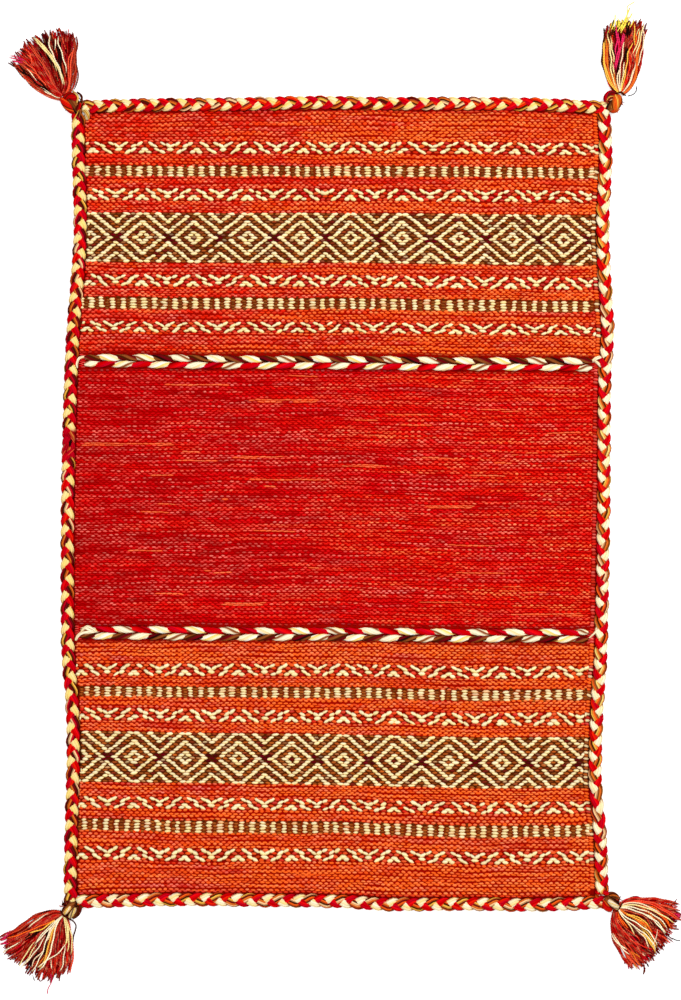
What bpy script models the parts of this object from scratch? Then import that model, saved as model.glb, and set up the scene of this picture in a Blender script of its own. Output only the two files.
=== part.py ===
"""A small flat-woven kilim with a plaited border and a knotted tassel at each corner.

Metres, +Z up. The rug lies face up on the XY plane with its long side along Y. It is drawn about
the middle of the cloth, and then all of it is set down with the origin under the middle of its box.
"""

import math
import random
from collections import namedtuple

import bmesh
import bpy
from mathutils import Vector

# ---------------------------------------------------------------- driving dimensions

MM = 0.001
SEAM_GAP = 0.5 * MM  # between the panel and the plaits

PANEL_THICKNESS = 4.0 * MM
PANEL_EDGE_STEPS = 28  # straight runs along each long edge of the panel
PANEL_END_STEPS = 14  # and along each short edge
CORNER_ROOM = 4.0 * MM  # least run between a corner and the next point of a long edge

TWINE_WIDTH = 15.0 * MM  # the two thick twined rows together
TWINE_HEIGHT = 2.4 * MM  # above the panel
TWINE_PERIOD = 39.5 * MM  # one light and one dark lobe in each row
TWINE_VALLEY = 0.35  # height left between two lobes, as a share of TWINE_HEIGHT

BRAID_WIDTH = 14.5 * MM
BRAID_HEIGHT = 8.5 * MM
BRAID_PERIOD = 32.0 * MM  # each of the three strands shows once a period on each side
BRAID_LOBES = 6  # in one period, both sides together
BRAID_FOOT = 0.72  # width on the floor, as a share of BRAID_WIDTH
BRAID_SHOULDER = 0.5  # height of the widest point, as a share of BRAID_HEIGHT
BRAID_SWAY = 3.2 * MM  # how far the crown moves towards each lobe
BRAID_DIP = 1.1 * MM  # how far the side between two lobes draws in
BRAID_UNEVEN = 0.3 * MM

KNOT_HEIGHT = 16.0 * MM
KNOT_FLAT = 1.0 * MM  # how much of the knot's underside is pressed flat
KNOT_WRAPS = 3
KNOT_RIDGE = 0.09  # height of a wrap, as a share of the knot's radius
KNOT_SIDES = 16
KNOT_RINGS = 9

ROOT_RADIUS = 6.2 * MM  # of the bound neck that the yarn ends leave
ROOT_LAYER = 3.0 * MM  # height of one layer of yarn in the neck
ROOT_SPREAD = math.radians(78)  # either side of the tassel's heading
ROOT_BACK_SIDES = 5
ROOT_INSET = 0.12 * MM

STRAND_COLUMNS = 14
STRAND_LAYERS = 3
STRAND_STEPS = (0.22, 0.45, 0.72, 1.0)  # shares of a strand's length where it has a section
STRAND_HEIGHT = 1.7 * MM
STRAND_WIDTH = 2.2 * MM
STRAND_PITCH = 2.1 * MM  # from one layer of resting strands to the next
STRAND_FILL = 0.72  # of the room between two strands that one of them takes
STRAND_CURVE = 0.45  # where the curve's control point lies along a strand
STRAND_UNEVEN = 0.07  # of its length
STRAND_STEP = 0.02  # a small share of its length, to measure its direction
STRAND_DROP = 0.45  # the share of its length in which it comes down to its layer

SEED = 7

# ---------------------------------------------------------------- tables, in millimetres

EdgePoint = namedtuple("EdgePoint", "along out")

# Outer edge of the border. The long sides run along Y and lie out along X, the ends the other way.
LEFT_EDGE = (
    EdgePoint(-454, -305.8), EdgePoint(-422, -306.9), EdgePoint(-339, -305.0),
    EdgePoint(-283, -303.6), EdgePoint(-228, -304.7), EdgePoint(-172, -309.1),
    EdgePoint(-89, -310.0), EdgePoint(22, -309.4), EdgePoint(133, -306.4),
    EdgePoint(189, -303.6), EdgePoint(244, -299.1), EdgePoint(300, -295.8),
    EdgePoint(388, -298.0), EdgePoint(446, -298.0),
)  # fmt: skip
RIGHT_EDGE = (
    EdgePoint(-454, 295.8), EdgePoint(-422, 296.9), EdgePoint(-366, 294.7),
    EdgePoint(-311, 289.7), EdgePoint(-228, 291.9), EdgePoint(-172, 295.8),
    EdgePoint(-6, 299.1), EdgePoint(133, 300.3), EdgePoint(189, 303.6),
    EdgePoint(216, 301.9), EdgePoint(300, 298.0), EdgePoint(388, 301.4),
    EdgePoint(446, 298.0),
)  # fmt: skip
TOP_EDGE = (
    EdgePoint(-306, 442.4), EdgePoint(-223, 445.1), EdgePoint(-112, 446.2),
    EdgePoint(-28, 447.9), EdgePoint(55, 446.8), EdgePoint(138, 446.8),
    EdgePoint(221, 445.7), EdgePoint(300, 441.8),
)  # fmt: skip
BOTTOM_EDGE = (
    EdgePoint(-306, -452.9), EdgePoint(-167, -450.1), EdgePoint(-84, -451.2),
    EdgePoint(0, -452.3), EdgePoint(55, -455.7), EdgePoint(138, -455.1),
    EdgePoint(221, -456.2), EdgePoint(300, -452.9),
)  # fmt: skip

# The middle of each pair of twined rows, at the panel's left and right edges.
TwinedRow = namedtuple("TwinedRow", "left right")
TWINED_ROWS = (TwinedRow(-147.1, -151.0), TwinedRow(154.3, 149.9))

# How far each plait reaches along its side, between the two corner knots.
BraidSpan = namedtuple("BraidSpan", "name edge upright start end inward phase")
BRAID_SPANS = (
    BraidSpan("braid_left", LEFT_EDGE, True, -443.6, 424.0, 1, 0),
    BraidSpan("braid_right", RIGHT_EDGE, True, -435.5, 427.0, -1, 1),
    BraidSpan("braid_top", TOP_EDGE, False, -282.5, 292.0, -1, 0),
    BraidSpan("braid_bottom", BOTTOM_EDGE, False, -290.5, 290.0, 1, 1),
)

# A tassel's knot: its middle, its half length and half width in plan, and the way it points.
# The neck's middle follows, and the heading of the whole fan.
Tassel = namedtuple("Tassel", "name x y long wide turn neck_x neck_y heading fan")

# A fan of yarn ends, from one side to the other: the angle at which an end leaves the neck, the
# angle of the straight line to its tip, and the length of that line.
FanRow = namedtuple("FanRow", "leave tip reach")
TASSELS = (
    Tassel(
        "tassel_top_left", -295.8, 438.5, 14.3, 8.0, 126, -308.0, 446.4, 117,
        (
            FanRow(185, 149, 70.4), FanRow(150, 132, 71), FanRow(118, 115, 78.7),
            FanRow(82, 97, 78.8), FanRow(48, 83.5, 73.2),
        ),
    ),
    Tassel(
        "tassel_top_right", 303.0, 440.0, 11.5, 9.5, 55, 309.7, 450.1, 86,
        (
            FanRow(138, 103, 70), FanRow(110, 95, 82), FanRow(85, 87, 88),
            FanRow(60, 77, 85), FanRow(32, 69, 80),
        ),
    ),
    Tassel(
        "tassel_bottom_left", -300.5, -453.0, 10.0, 7.5, 223, -306.4, -460.0, 237,
        (
            FanRow(172, 200, 75), FanRow(206, 221, 77), FanRow(238, 240, 77.4),
            FanRow(270, 257, 82), FanRow(303, 268, 66),
        ),
    ),
    Tassel(
        "tassel_bottom_right", 300.6, -445.3, 9.0, 8.6, 320, 308.0, -451.2, 316,
        (
            FanRow(382, 353, 69.3), FanRow(354, 335, 68.3), FanRow(318, 314, 70.3),
            FanRow(282, 298, 72), FanRow(250, 282, 70.9),
        ),
    ),
)  # fmt: skip

# Name of a finish: red, green, blue and roughness.
FINISHES = {
    "woven_panel": (0.62, 0.03, 0.008, 0.9),
    "braid": (0.72, 0.25, 0.08, 0.85),
    "tassel": (0.55, 0.05, 0.012, 0.85),
}

# ---------------------------------------------------------------- curves and surfaces


def along_table(table, place):
    """The second column of a two-column table at a place in its first, on a smooth curve."""
    last = len(table) - 1
    i = 0
    while i < last - 1 and place > table[i + 1][0]:
        i += 1
    here, there = table[i], table[i + 1]
    before = table[max(i - 1, 0)]
    after = table[min(i + 2, last)]
    width = there[0] - here[0]
    t = min(max((place - here[0]) / width, 0.0), 1.0)
    slope_here = (there[1] - before[1]) / (there[0] - before[0]) * width
    slope_there = (after[1] - here[1]) / (after[0] - here[0]) * width
    return (
        (2 * t**3 - 3 * t**2 + 1) * here[1]
        + (t**3 - 2 * t**2 + t) * slope_here
        + (3 * t**2 - 2 * t**3) * there[1]
        + (t**3 - t**2) * slope_there
    )


def edge_at(table, place, inset=0.0):
    """Where an edge lies at a place along it, both in metres, moved inwards by inset."""
    out = along_table(table, place / MM) * MM
    return out - math.copysign(inset, out)


def blend(a, b, share):
    return a + (b - a) * share


def loft(bm, rings):
    """Side faces between closed rings of points, with both ends capped. Returns the sides, by ring."""
    rows = [[bm.verts.new(point) for point in ring] for ring in rings]
    count = len(rows[0])
    sides = []
    for lower, upper in zip(rows, rows[1:]):
        side = []
        for i in range(count):
            j = (i + 1) % count
            side.append(bm.faces.new((lower[i], lower[j], upper[j], upper[i])))
        sides.append(side)
    bm.faces.new(list(reversed(rows[0])))
    bm.faces.new(rows[-1])
    return sides


def new_object(name, bm, finish, collection):
    """An object made from a bmesh, facing outwards, with its own finish."""
    bmesh.ops.recalc_face_normals(bm, faces=bm.faces)
    mesh = bpy.data.meshes.new(name)
    bm.to_mesh(mesh)
    bm.free()
    obj = bpy.data.objects.new(name, mesh)
    collection.objects.link(obj)
    if finish:
        mesh.materials.append(new_finish(name, *FINISHES[finish]))
    return obj


def new_finish(name, red, green, blue, roughness):
    material = bpy.data.materials.new(name + "_finish")
    material.use_nodes = True
    shader = material.node_tree.nodes["Principled BSDF"]
    shader.inputs["Base Color"].default_value = (red, green, blue, 1.0)
    shader.inputs["Roughness"].default_value = roughness
    shader.inputs["Metallic"].default_value = 0.0
    return material


# ---------------------------------------------------------------- the woven panel

PANEL_INSET = BRAID_WIDTH + SEAM_GAP


def panel_point(across, up):
    """A point of the panel in plan, from its shares of the width and the height."""
    y_near = blend(edge_at(BOTTOM_EDGE, 0), edge_at(TOP_EDGE, 0), up)
    x_near = blend(edge_at(LEFT_EDGE, y_near), edge_at(RIGHT_EDGE, y_near), across)
    low = edge_at(BOTTOM_EDGE, x_near, PANEL_INSET)
    high = edge_at(TOP_EDGE, x_near, PANEL_INSET)
    y = blend(low, high, up)
    left = edge_at(LEFT_EDGE, y, PANEL_INSET)
    right = edge_at(RIGHT_EDGE, y, PANEL_INSET)
    return Vector((blend(left, right, across), y, PANEL_THICKNESS))


def twined_strip(bm, row):
    """One raised pair of twined rows. Returns the strip's lower and upper lines of vertices."""
    width = edge_at(RIGHT_EDGE, 0, PANEL_INSET) - edge_at(LEFT_EDGE, 0, PANEL_INSET)
    columns = round(width / (TWINE_PERIOD / 4))
    lines = []
    # Across the strip: flat edge, first crown, valley, second crown, flat edge.
    for line, (offset, crown) in enumerate(((-0.5, 0), (-0.25, 1), (0, 0), (0.25, 1), (0.5, 0))):
        verts = []
        for i in range(columns + 1):
            share = i / columns
            middle = blend(row.left, row.right, share) * MM
            x = blend(
                edge_at(LEFT_EDGE, middle, PANEL_INSET),
                edge_at(RIGHT_EDGE, middle, PANEL_INSET),
                share,
            )
            swell = 0.0
            if 0 < i < columns:
                on_lobe = (i + line // 2) % 2
                swell = crown * blend(TWINE_VALLEY, 1.0, on_lobe)
                if line == 2:
                    swell = TWINE_VALLEY
            y = middle + offset * TWINE_WIDTH
            verts.append(bm.verts.new((x, y, PANEL_THICKNESS + swell * TWINE_HEIGHT)))
        lines.append(verts)
    for lower, upper in zip(lines, lines[1:]):
        for i in range(columns):
            bm.faces.new((lower[i], lower[i + 1], upper[i + 1], upper[i]))
    return lines


def panel_side(bm, across, low, high):
    """Vertices up one long edge of the panel, clear of its corners at two places along Y."""
    verts = []
    for i in range(1, PANEL_EDGE_STEPS):
        point = panel_point(across, i / PANEL_EDGE_STEPS)
        if low + CORNER_ROOM < point.y < high - CORNER_ROOM:
            verts.append(bm.verts.new(point))
    return verts


def panel_end(bm, up):
    """Vertices along one short edge of the panel, corners included."""
    steps = range(PANEL_END_STEPS + 1)
    return [bm.verts.new(panel_point(i / PANEL_END_STEPS, up)) for i in steps]


def build_panel(collection):
    bm = bmesh.new()
    bottom = panel_end(bm, 0.0)
    top = panel_end(bm, 1.0)
    strips = [twined_strip(bm, row) for row in TWINED_ROWS]
    lower_lines = [bottom] + [strip[-1] for strip in strips]
    upper_lines = [strip[0] for strip in strips] + [top]
    for lower, upper in zip(lower_lines, upper_lines):
        right = panel_side(bm, 1.0, lower[-1].co.y, upper[-1].co.y)
        left = panel_side(bm, 0.0, lower[0].co.y, upper[0].co.y)
        bm.faces.new(lower + right + upper[::-1] + left[::-1])
    made = bmesh.ops.extrude_face_region(bm, geom=list(bm.faces))["geom"]
    for vert in made:
        if isinstance(vert, bmesh.types.BMVert):
            vert.co.z = 0.0
    underside = [f for f in made if isinstance(f, bmesh.types.BMFace)]
    bmesh.ops.dissolve_faces(bm, faces=underside, use_verts=True)
    return new_object("woven_panel", bm, "woven_panel", collection)


# ---------------------------------------------------------------- the plaited border


def braid_section(lobe, uneven):
    """Points of one section, (inwards from the outer edge, height). lobe is -1 outside, 1 inside."""
    half = BRAID_WIDTH / 2
    foot = half * BRAID_FOOT
    outer = 0.0 if lobe < 0 else BRAID_DIP
    inner = BRAID_WIDTH - (0.0 if lobe > 0 else BRAID_DIP)
    crown = half + lobe * BRAID_SWAY
    shoulder = BRAID_HEIGHT * BRAID_SHOULDER
    return (
        (half - foot, 0.0),
        (half + foot, 0.0),
        (inner, shoulder),
        (crown, BRAID_HEIGHT + uneven),
        (outer, shoulder),
    )


def build_braid(span, collection, draw):
    start, end = span.start * MM, span.end * MM
    count = round((end - start) / (BRAID_PERIOD / BRAID_LOBES))
    rings = []
    for i in range(count + 1):
        place = blend(start, end, i / count)
        outer = edge_at(span.edge, place)
        lobe = 1 if (i + span.phase) % 2 else -1
        ring = []
        for inwards, height in braid_section(lobe, draw.uniform(-1, 0) * BRAID_UNEVEN):
            out = outer + span.inward * inwards
            ring.append((out, place, height) if span.upright else (place, out, height))
        rings.append(ring)
    bm = bmesh.new()
    loft(bm, rings)
    return new_object(span.name, bm, "braid", collection)


# ---------------------------------------------------------------- the corner tassels


def heading(degrees):
    return Vector((math.cos(math.radians(degrees)), math.sin(math.radians(degrees)), 0.0))


def fan_row(tassel, share):
    """The fan's row at a share from one side to the other."""
    steps = len(tassel.fan) - 1
    columns = [tuple((i / steps, row[k]) for i, row in enumerate(tassel.fan)) for k in range(3)]
    return FanRow(*(along_table(column, share) for column in columns))


def root_angle(tassel, share):
    """Where on the neck, in degrees, the yarn at a share of the fan leaves it."""
    side = 1 if tassel.fan[0].leave > tassel.fan[-1].leave else -1
    return tassel.heading + side * math.degrees(ROOT_SPREAD) * (1 - 2 * share)


def strand_point(tassel, share, t, longer, drift=0.0):
    """A point on a yarn end's curve in plan, t of the way along it. It drifts sideways to its tip."""
    row = fan_row(tassel, share + drift * t)
    neck = Vector((tassel.neck_x, tassel.neck_y, 0.0)) * MM
    root = neck + heading(root_angle(tassel, share)) * ROOT_RADIUS
    reach = row.reach * MM * longer
    tip = neck + heading(row.tip) * reach
    bend = root + heading(row.leave) * reach * STRAND_CURVE
    return root * (1 - t) ** 2 + bend * (2 * t * (1 - t)) + tip * t**2


def grow_strand(bm, face, tassel, share, layer, longer):
    """Draws one yarn end out of a face of the neck, down to its layer and along its curve."""
    bmesh.ops.inset_individual(bm, faces=[face], thickness=ROOT_INSET)
    neighbour = share + math.copysign(1 / STRAND_COLUMNS, 0.5 - share)
    drift = (layer - (STRAND_LAYERS - 1) / 2) / (STRAND_LAYERS * STRAND_COLUMNS)
    root_height = (layer + 0.5) * ROOT_LAYER
    rest_height = layer * STRAND_PITCH + STRAND_HEIGHT / 2
    for t in STRAND_STEPS:
        here = strand_point(tassel, share, t, longer, drift)
        ahead = strand_point(tassel, share, t + STRAND_STEP, longer, drift)
        behind = strand_point(tassel, share, t - STRAND_STEP, longer, drift)
        forward = (ahead - behind).normalized()
        side = Vector((forward.y, -forward.x, 0.0))
        apart = (strand_point(tassel, neighbour, t, longer, drift) - here).dot(side)
        width = min(STRAND_WIDTH, abs(apart) * STRAND_FILL)
        settled = min(1.0, t / STRAND_DROP) ** 0.5
        middle = blend(root_height, rest_height, settled)
        centre = face.calc_center_median()
        offsets = [vert.co - centre for vert in face.verts]
        face = bmesh.ops.extrude_discrete_faces(bm, faces=[face])["faces"][0]
        for vert, offset in zip(face.verts, offsets):
            vert.co = here + side * math.copysign(width / 2, offset.dot(side))
            vert.co.z = middle + math.copysign(STRAND_HEIGHT / 2, offset.z)


def build_neck(bm, tassel, draw):
    """The bound neck, with its yarn ends drawn out of its front."""
    neck = Vector((tassel.neck_x, tassel.neck_y, 0.0)) * MM
    front = [root_angle(tassel, i / STRAND_COLUMNS) for i in range(STRAND_COLUMNS + 1)]
    turn = math.copysign(360 - 2 * math.degrees(ROOT_SPREAD), front[-1] - front[0])
    back = [front[-1] + turn * i / ROOT_BACK_SIDES for i in range(1, ROOT_BACK_SIDES)]
    rings = []
    for layer in range(STRAND_LAYERS + 1):
        up = Vector((0.0, 0.0, layer * ROOT_LAYER))
        rings.append([neck + heading(angle) * ROOT_RADIUS + up for angle in front + back])
    sides = loft(bm, rings)
    bmesh.ops.recalc_face_normals(bm, faces=bm.faces)
    for layer, side in enumerate(sides):
        for column in range(STRAND_COLUMNS):
            share = (column + 0.5) / STRAND_COLUMNS
            longer = 1 - draw.random() * STRAND_UNEVEN
            grow_strand(bm, side[column], tassel, share, layer, longer)


def build_knot(tassel, guides):
    """The knot of thick yarn behind the neck, pressed flat where it rests."""
    bm = bmesh.new()
    bmesh.ops.create_uvsphere(bm, u_segments=KNOT_SIDES, v_segments=KNOT_RINGS, radius=1.0)
    along = heading(tassel.turn)
    across = heading(tassel.turn + 90)
    centre = Vector((tassel.x, tassel.y, 0.0)) * MM
    middle = KNOT_HEIGHT / 2 - KNOT_FLAT
    for vert in bm.verts:
        around = math.atan2(vert.co.y, vert.co.x)
        wrap = math.sin(KNOT_WRAPS * (around + vert.co.z))
        level = math.sqrt(max(0.0, 1 - vert.co.z**2))
        swell = 1 - KNOT_RIDGE * level * (1 - wrap) / 2
        x, y, z = vert.co * swell
        height = max(0.0, middle + z * KNOT_HEIGHT / 2)
        vert.co = centre + along * x * tassel.long * MM + across * y * tassel.wide * MM
        vert.co.z = height
    knot = new_object(tassel.name + "_knot", bm, None, guides)
    knot.hide_render = True
    knot.display_type = "WIRE"
    return knot


def build_tassel(tassel, collection, guides, draw):
    bm = bmesh.new()
    build_neck(bm, tassel, draw)
    obj = new_object(tassel.name, bm, "tassel", collection)
    join = obj.modifiers.new("knot", "BOOLEAN")
    join.operation = "UNION"
    join.solver = "EXACT"
    join.object = build_knot(tassel, guides)
    return obj


# ---------------------------------------------------------------- the rug


def clear_scene():
    for obj in list(bpy.data.objects):
        bpy.data.objects.remove(obj, do_unlink=True)


def new_collection(name):
    collection = bpy.data.collections.new(name)
    bpy.context.scene.collection.children.link(collection)
    return collection


def set_down(pieces, guides, collection):
    """Parents all of the rug to one empty, placed so that the origin is under the box's middle."""
    bpy.context.view_layer.update()
    depsgraph = bpy.context.evaluated_depsgraph_get()
    points = []
    for piece in pieces:
        evaluated = piece.evaluated_get(depsgraph)
        points += [vert.co.copy() for vert in evaluated.data.vertices]
    middle = [(min(p[k] for p in points) + max(p[k] for p in points)) / 2 for k in range(2)]
    base = bpy.data.objects.new("rug_base", None)
    base.location = (-middle[0], -middle[1], 0.0)
    collection.objects.link(base)
    for obj in [*pieces, *guides.objects]:
        obj.parent = base


def main():
    clear_scene()
    collection = new_collection("kilim_rug")
    guides = new_collection("knot_shapes")
    draw = random.Random(SEED)
    pieces = [build_panel(collection)]
    pieces += [build_braid(span, collection, draw) for span in BRAID_SPANS]
    pieces += [build_tassel(tassel, collection, guides, draw) for tassel in TASSELS]
    set_down(pieces, guides, collection)


main()
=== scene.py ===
"""The looks of a small flat-woven kilim with a plaited border and a knotted tassel at each corner.

All of it is drawn in the rug's own plan, in millimetres about the middle of the cloth, X to the
right, Y up the rug and Z out of its face. set_down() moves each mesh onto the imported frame.
"""

import math
from collections import namedtuple

import bpy
import numpy as np
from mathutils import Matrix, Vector


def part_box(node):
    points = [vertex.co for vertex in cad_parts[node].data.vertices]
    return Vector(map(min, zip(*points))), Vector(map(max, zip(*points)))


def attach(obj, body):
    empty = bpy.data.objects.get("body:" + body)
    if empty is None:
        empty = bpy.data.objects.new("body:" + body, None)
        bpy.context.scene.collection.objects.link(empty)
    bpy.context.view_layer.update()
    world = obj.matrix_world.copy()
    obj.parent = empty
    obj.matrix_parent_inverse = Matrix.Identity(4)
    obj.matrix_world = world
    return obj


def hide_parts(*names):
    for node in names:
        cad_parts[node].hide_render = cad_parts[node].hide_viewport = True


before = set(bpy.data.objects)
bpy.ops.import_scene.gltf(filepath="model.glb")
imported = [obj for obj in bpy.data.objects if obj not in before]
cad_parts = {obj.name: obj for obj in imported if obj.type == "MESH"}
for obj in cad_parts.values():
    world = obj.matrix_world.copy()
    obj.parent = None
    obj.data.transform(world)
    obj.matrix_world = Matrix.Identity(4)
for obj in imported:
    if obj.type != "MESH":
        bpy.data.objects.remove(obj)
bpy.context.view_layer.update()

MM = 0.001
BODY = "root"
SEED = 11
draw = np.random.default_rng(SEED)

# ---------------------------------------------------------------- the rug's plan, in millimetres

BRAID_WIDTH = 14.5
SEAM_GAP = 0.5
PANEL_INSET = BRAID_WIDTH + SEAM_GAP

# Outer edge of the border: (along, out). The long sides run along Y and lie out along X.
LEFT_EDGE = (
    (-454, -305.8), (-422, -306.9), (-339, -305.0), (-283, -303.6), (-228, -304.7),
    (-172, -309.1), (-89, -310.0), (22, -309.4), (133, -306.4), (189, -303.6),
    (244, -299.1), (300, -295.8), (388, -298.0), (446, -298.0),
)  # fmt: skip
RIGHT_EDGE = (
    (-454, 295.8), (-422, 296.9), (-366, 294.7), (-311, 289.7), (-228, 291.9),
    (-172, 295.8), (-6, 299.1), (133, 300.3), (189, 303.6), (216, 301.9),
    (300, 298.0), (388, 301.4), (446, 298.0),
)  # fmt: skip
TOP_EDGE = (
    (-306, 442.4), (-223, 445.1), (-112, 446.2), (-28, 447.9), (55, 446.8),
    (138, 446.8), (221, 445.7), (300, 441.8),
)  # fmt: skip
BOTTOM_EDGE = (
    (-306, -452.9), (-167, -450.1), (-84, -451.2), (0, -452.3), (55, -455.7),
    (138, -455.1), (221, -456.2), (300, -452.9),
)  # fmt: skip

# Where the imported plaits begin: the left one along Y, the top one along X. They tie plan to frame.
BRAID_LEFT_START = -443.6
BRAID_TOP_START = -282.5


def smooth(t, start, bend_in, end, bend_out):
    """A smooth curve at shares t of the way from start to end, with its directions at both."""
    return (
        (2 * t**3 - 3 * t**2 + 1) * start
        + (t**3 - 2 * t**2 + t) * bend_in
        + (3 * t**2 - 2 * t**3) * end
        + (t**3 - t**2) * bend_out
    )


def along_table(table, place):
    """The second column of a table at places in its first, on a smooth curve."""
    knots, values = (np.array(column, float) for column in zip(*table))
    place = np.clip(np.asarray(place, float), knots[0], knots[-1])
    last = len(knots) - 1
    i = np.clip(np.searchsorted(knots, place, side="left") - 1, 0, last - 1)
    before, after = np.maximum(i - 1, 0), np.minimum(i + 2, last)
    width = knots[i + 1] - knots[i]
    bend_in = (values[i + 1] - values[before]) / (knots[i + 1] - knots[before]) * width
    bend_out = (values[after] - values[i]) / (knots[after] - knots[i]) * width
    return smooth((place - knots[i]) / width, values[i], bend_in, values[i + 1], bend_out)


def panel_left(y):
    return along_table(LEFT_EDGE, y) + PANEL_INSET


def panel_right(y):
    return along_table(RIGHT_EDGE, y) - PANEL_INSET


def panel_top(x):
    return along_table(TOP_EDGE, x) - PANEL_INSET


def panel_bottom(x):
    return along_table(BOTTOM_EDGE, x) + PANEL_INSET


# ---------------------------------------------------------------- yarn colours

# As they look in daylight: red, green and blue from 0 to 255.
YARN = {
    "orange": (255, 101, 28),
    "flame": (238, 30, 6),
    "red": (236, 10, 16),
    "deep_red": (202, 0, 6),
    "crimson": (200, 4, 30),
    "magenta": (226, 40, 92),
    "dark_red": (132, 0, 0),
    "wine": (112, 6, 18),
    "cream": (252, 226, 166),
    "pale_cream": (255, 243, 206),
    "ivory": (255, 252, 236),
    "pale_red": (255, 138, 122),
    "coral": (240, 84, 52),
    "pale_orange": (255, 142, 78),
    "straw": (250, 218, 120),
    "yellow": (255, 232, 84),
    "peach": (255, 208, 150),
    "gold": (250, 190, 74),
    "amber": (228, 112, 34),
    "olive": (176, 142, 60),
    "brown": (144, 78, 34),
    "dark_brown": (74, 24, 6),
    "black": (34, 10, 8),
}
# The painted shade between the beads of each weave, that the sheet under them is coloured with.
GAP_SHADE = {
    "orange": (152, 6, 0),
    "red": (156, 0, 0),
    "zigzag": (116, 8, 0),
    "check": (116, 34, 4),
    "diamond": (80, 30, 2),
    "twined": (150, 8, 0),
}


def held(value, most=1.0):
    """A share that stays between 0 and the most that it may be."""
    return np.clip(value, 0, most)


def linear(colour):
    """A colour as seen, 0 to 255, as the light that it sends back."""
    c = np.asarray(colour, float) / 255
    return np.where(c <= 0.04045, c / 12.92, ((c + 0.055) / 1.055) ** 2.4)


INK = {name: linear(colour) for name, colour in YARN.items()}


def mixed(a, b, share):
    """Colour a moved towards colour b by a share, or by many shares at once."""
    share = np.asarray(share, float)[..., None]
    return np.asarray(a) * (1 - share) + np.asarray(b) * share


# ---------------------------------------------------------------- meshes of yarn


class Yarns:
    """Many beads and strands in one mesh, each vertex with its colour and its depth.

    Depth is 1 on the crown of a yarn and 0 in the painted shade beside it.
    """

    def __init__(self):
        self.points, self.faces, self.colours, self.depths = [], [], [], []
        self.count = 0

    def add(self, points, faces, colours, depths):
        points = np.asarray(points, float).reshape(-1, 3)
        self.points.append(points)
        self.faces.append(np.asarray(faces, np.int64).reshape(-1, 3) + self.count)
        self.colours.append(np.broadcast_to(colours, points.shape))
        self.depths.append(np.broadcast_to(depths, len(points)))
        self.count += len(points)

    def piece(self, name, material, slot):
        """The mesh as an object of its own, set down on the frame."""
        plan = np.concatenate(self.points)
        faces = np.concatenate(self.faces)
        faces = faces[np.argsort(plan[faces, 2].mean(axis=1), kind="stable")]
        mesh = bpy.data.meshes.new(name)
        mesh.from_pydata(set_down(plan), [], faces)
        map_from_above(mesh, plan, faces)
        colours = np.concatenate(self.colours)
        colours = np.hstack([colours, np.ones((len(colours), 1))]).astype(np.float32)
        mesh.attributes.new("yarn", "FLOAT_COLOR", "POINT").data.foreach_set("color", colours.ravel())
        depths = np.concatenate(self.depths).astype(np.float32)
        mesh.attributes.new("depth", "FLOAT", "POINT").data.foreach_set("value", depths)
        mesh.shade_smooth()
        mesh.materials.append(material)
        obj = bpy.data.objects.new(name, mesh)
        bpy.context.scene.collection.objects.link(obj)
        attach(obj, BODY)
        return obj


BAKE_MAP = "OFBake"
MAP_LEAN = 0.2  # of a point's height, added to its place on the map, so that upright faces show on it
MAP_MARGIN = 0.01


def map_from_above(mesh, plan, faces):
    """A flat map of a piece in plan. Its faces go from low to high, and the high ones win on it."""
    places = plan[:, :2] + MAP_LEAN * plan[:, 2:]
    low, high = places.min(axis=0), places.max(axis=0)
    places = MAP_MARGIN + (1 - 2 * MAP_MARGIN) * (places - low) / (high - low)
    layer = mesh.uv_layers.new(name=BAKE_MAP)
    layer.data.foreach_set("uv", places[faces].astype(np.float32).ravel())


def frame_shift():
    """From the rug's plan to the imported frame, in millimetres."""
    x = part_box("braid_top")[0].x / MM - BRAID_TOP_START
    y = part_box("braid_left")[0].y / MM - BRAID_LEFT_START
    return np.array([x, y, 0.0])


SHIFT = frame_shift()


def set_down(points):
    """Points of the plan, in the frame's metres."""
    return (points + SHIFT) * MM


# ---------------------------------------------------------------- materials


YARN_ROUGHNESS = 0.9
FIBRE_SCALE = 900.0
FIBRE_DETAIL = 3.0
FIBRE_RELIEF = 0.3 * MM
FIBRE_BUMP = 0.35
FIBRE_NOISE = (0.3, 0.7)  # the noise from which to which the fibres go from dark to light
FIBRE_TONE = (0.86, 1.08)  # and how dark and how light they are
SHADE_DEPTH = 0.55  # the depth from which on a yarn has its own colour; below it, painted shade tints it


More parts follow.
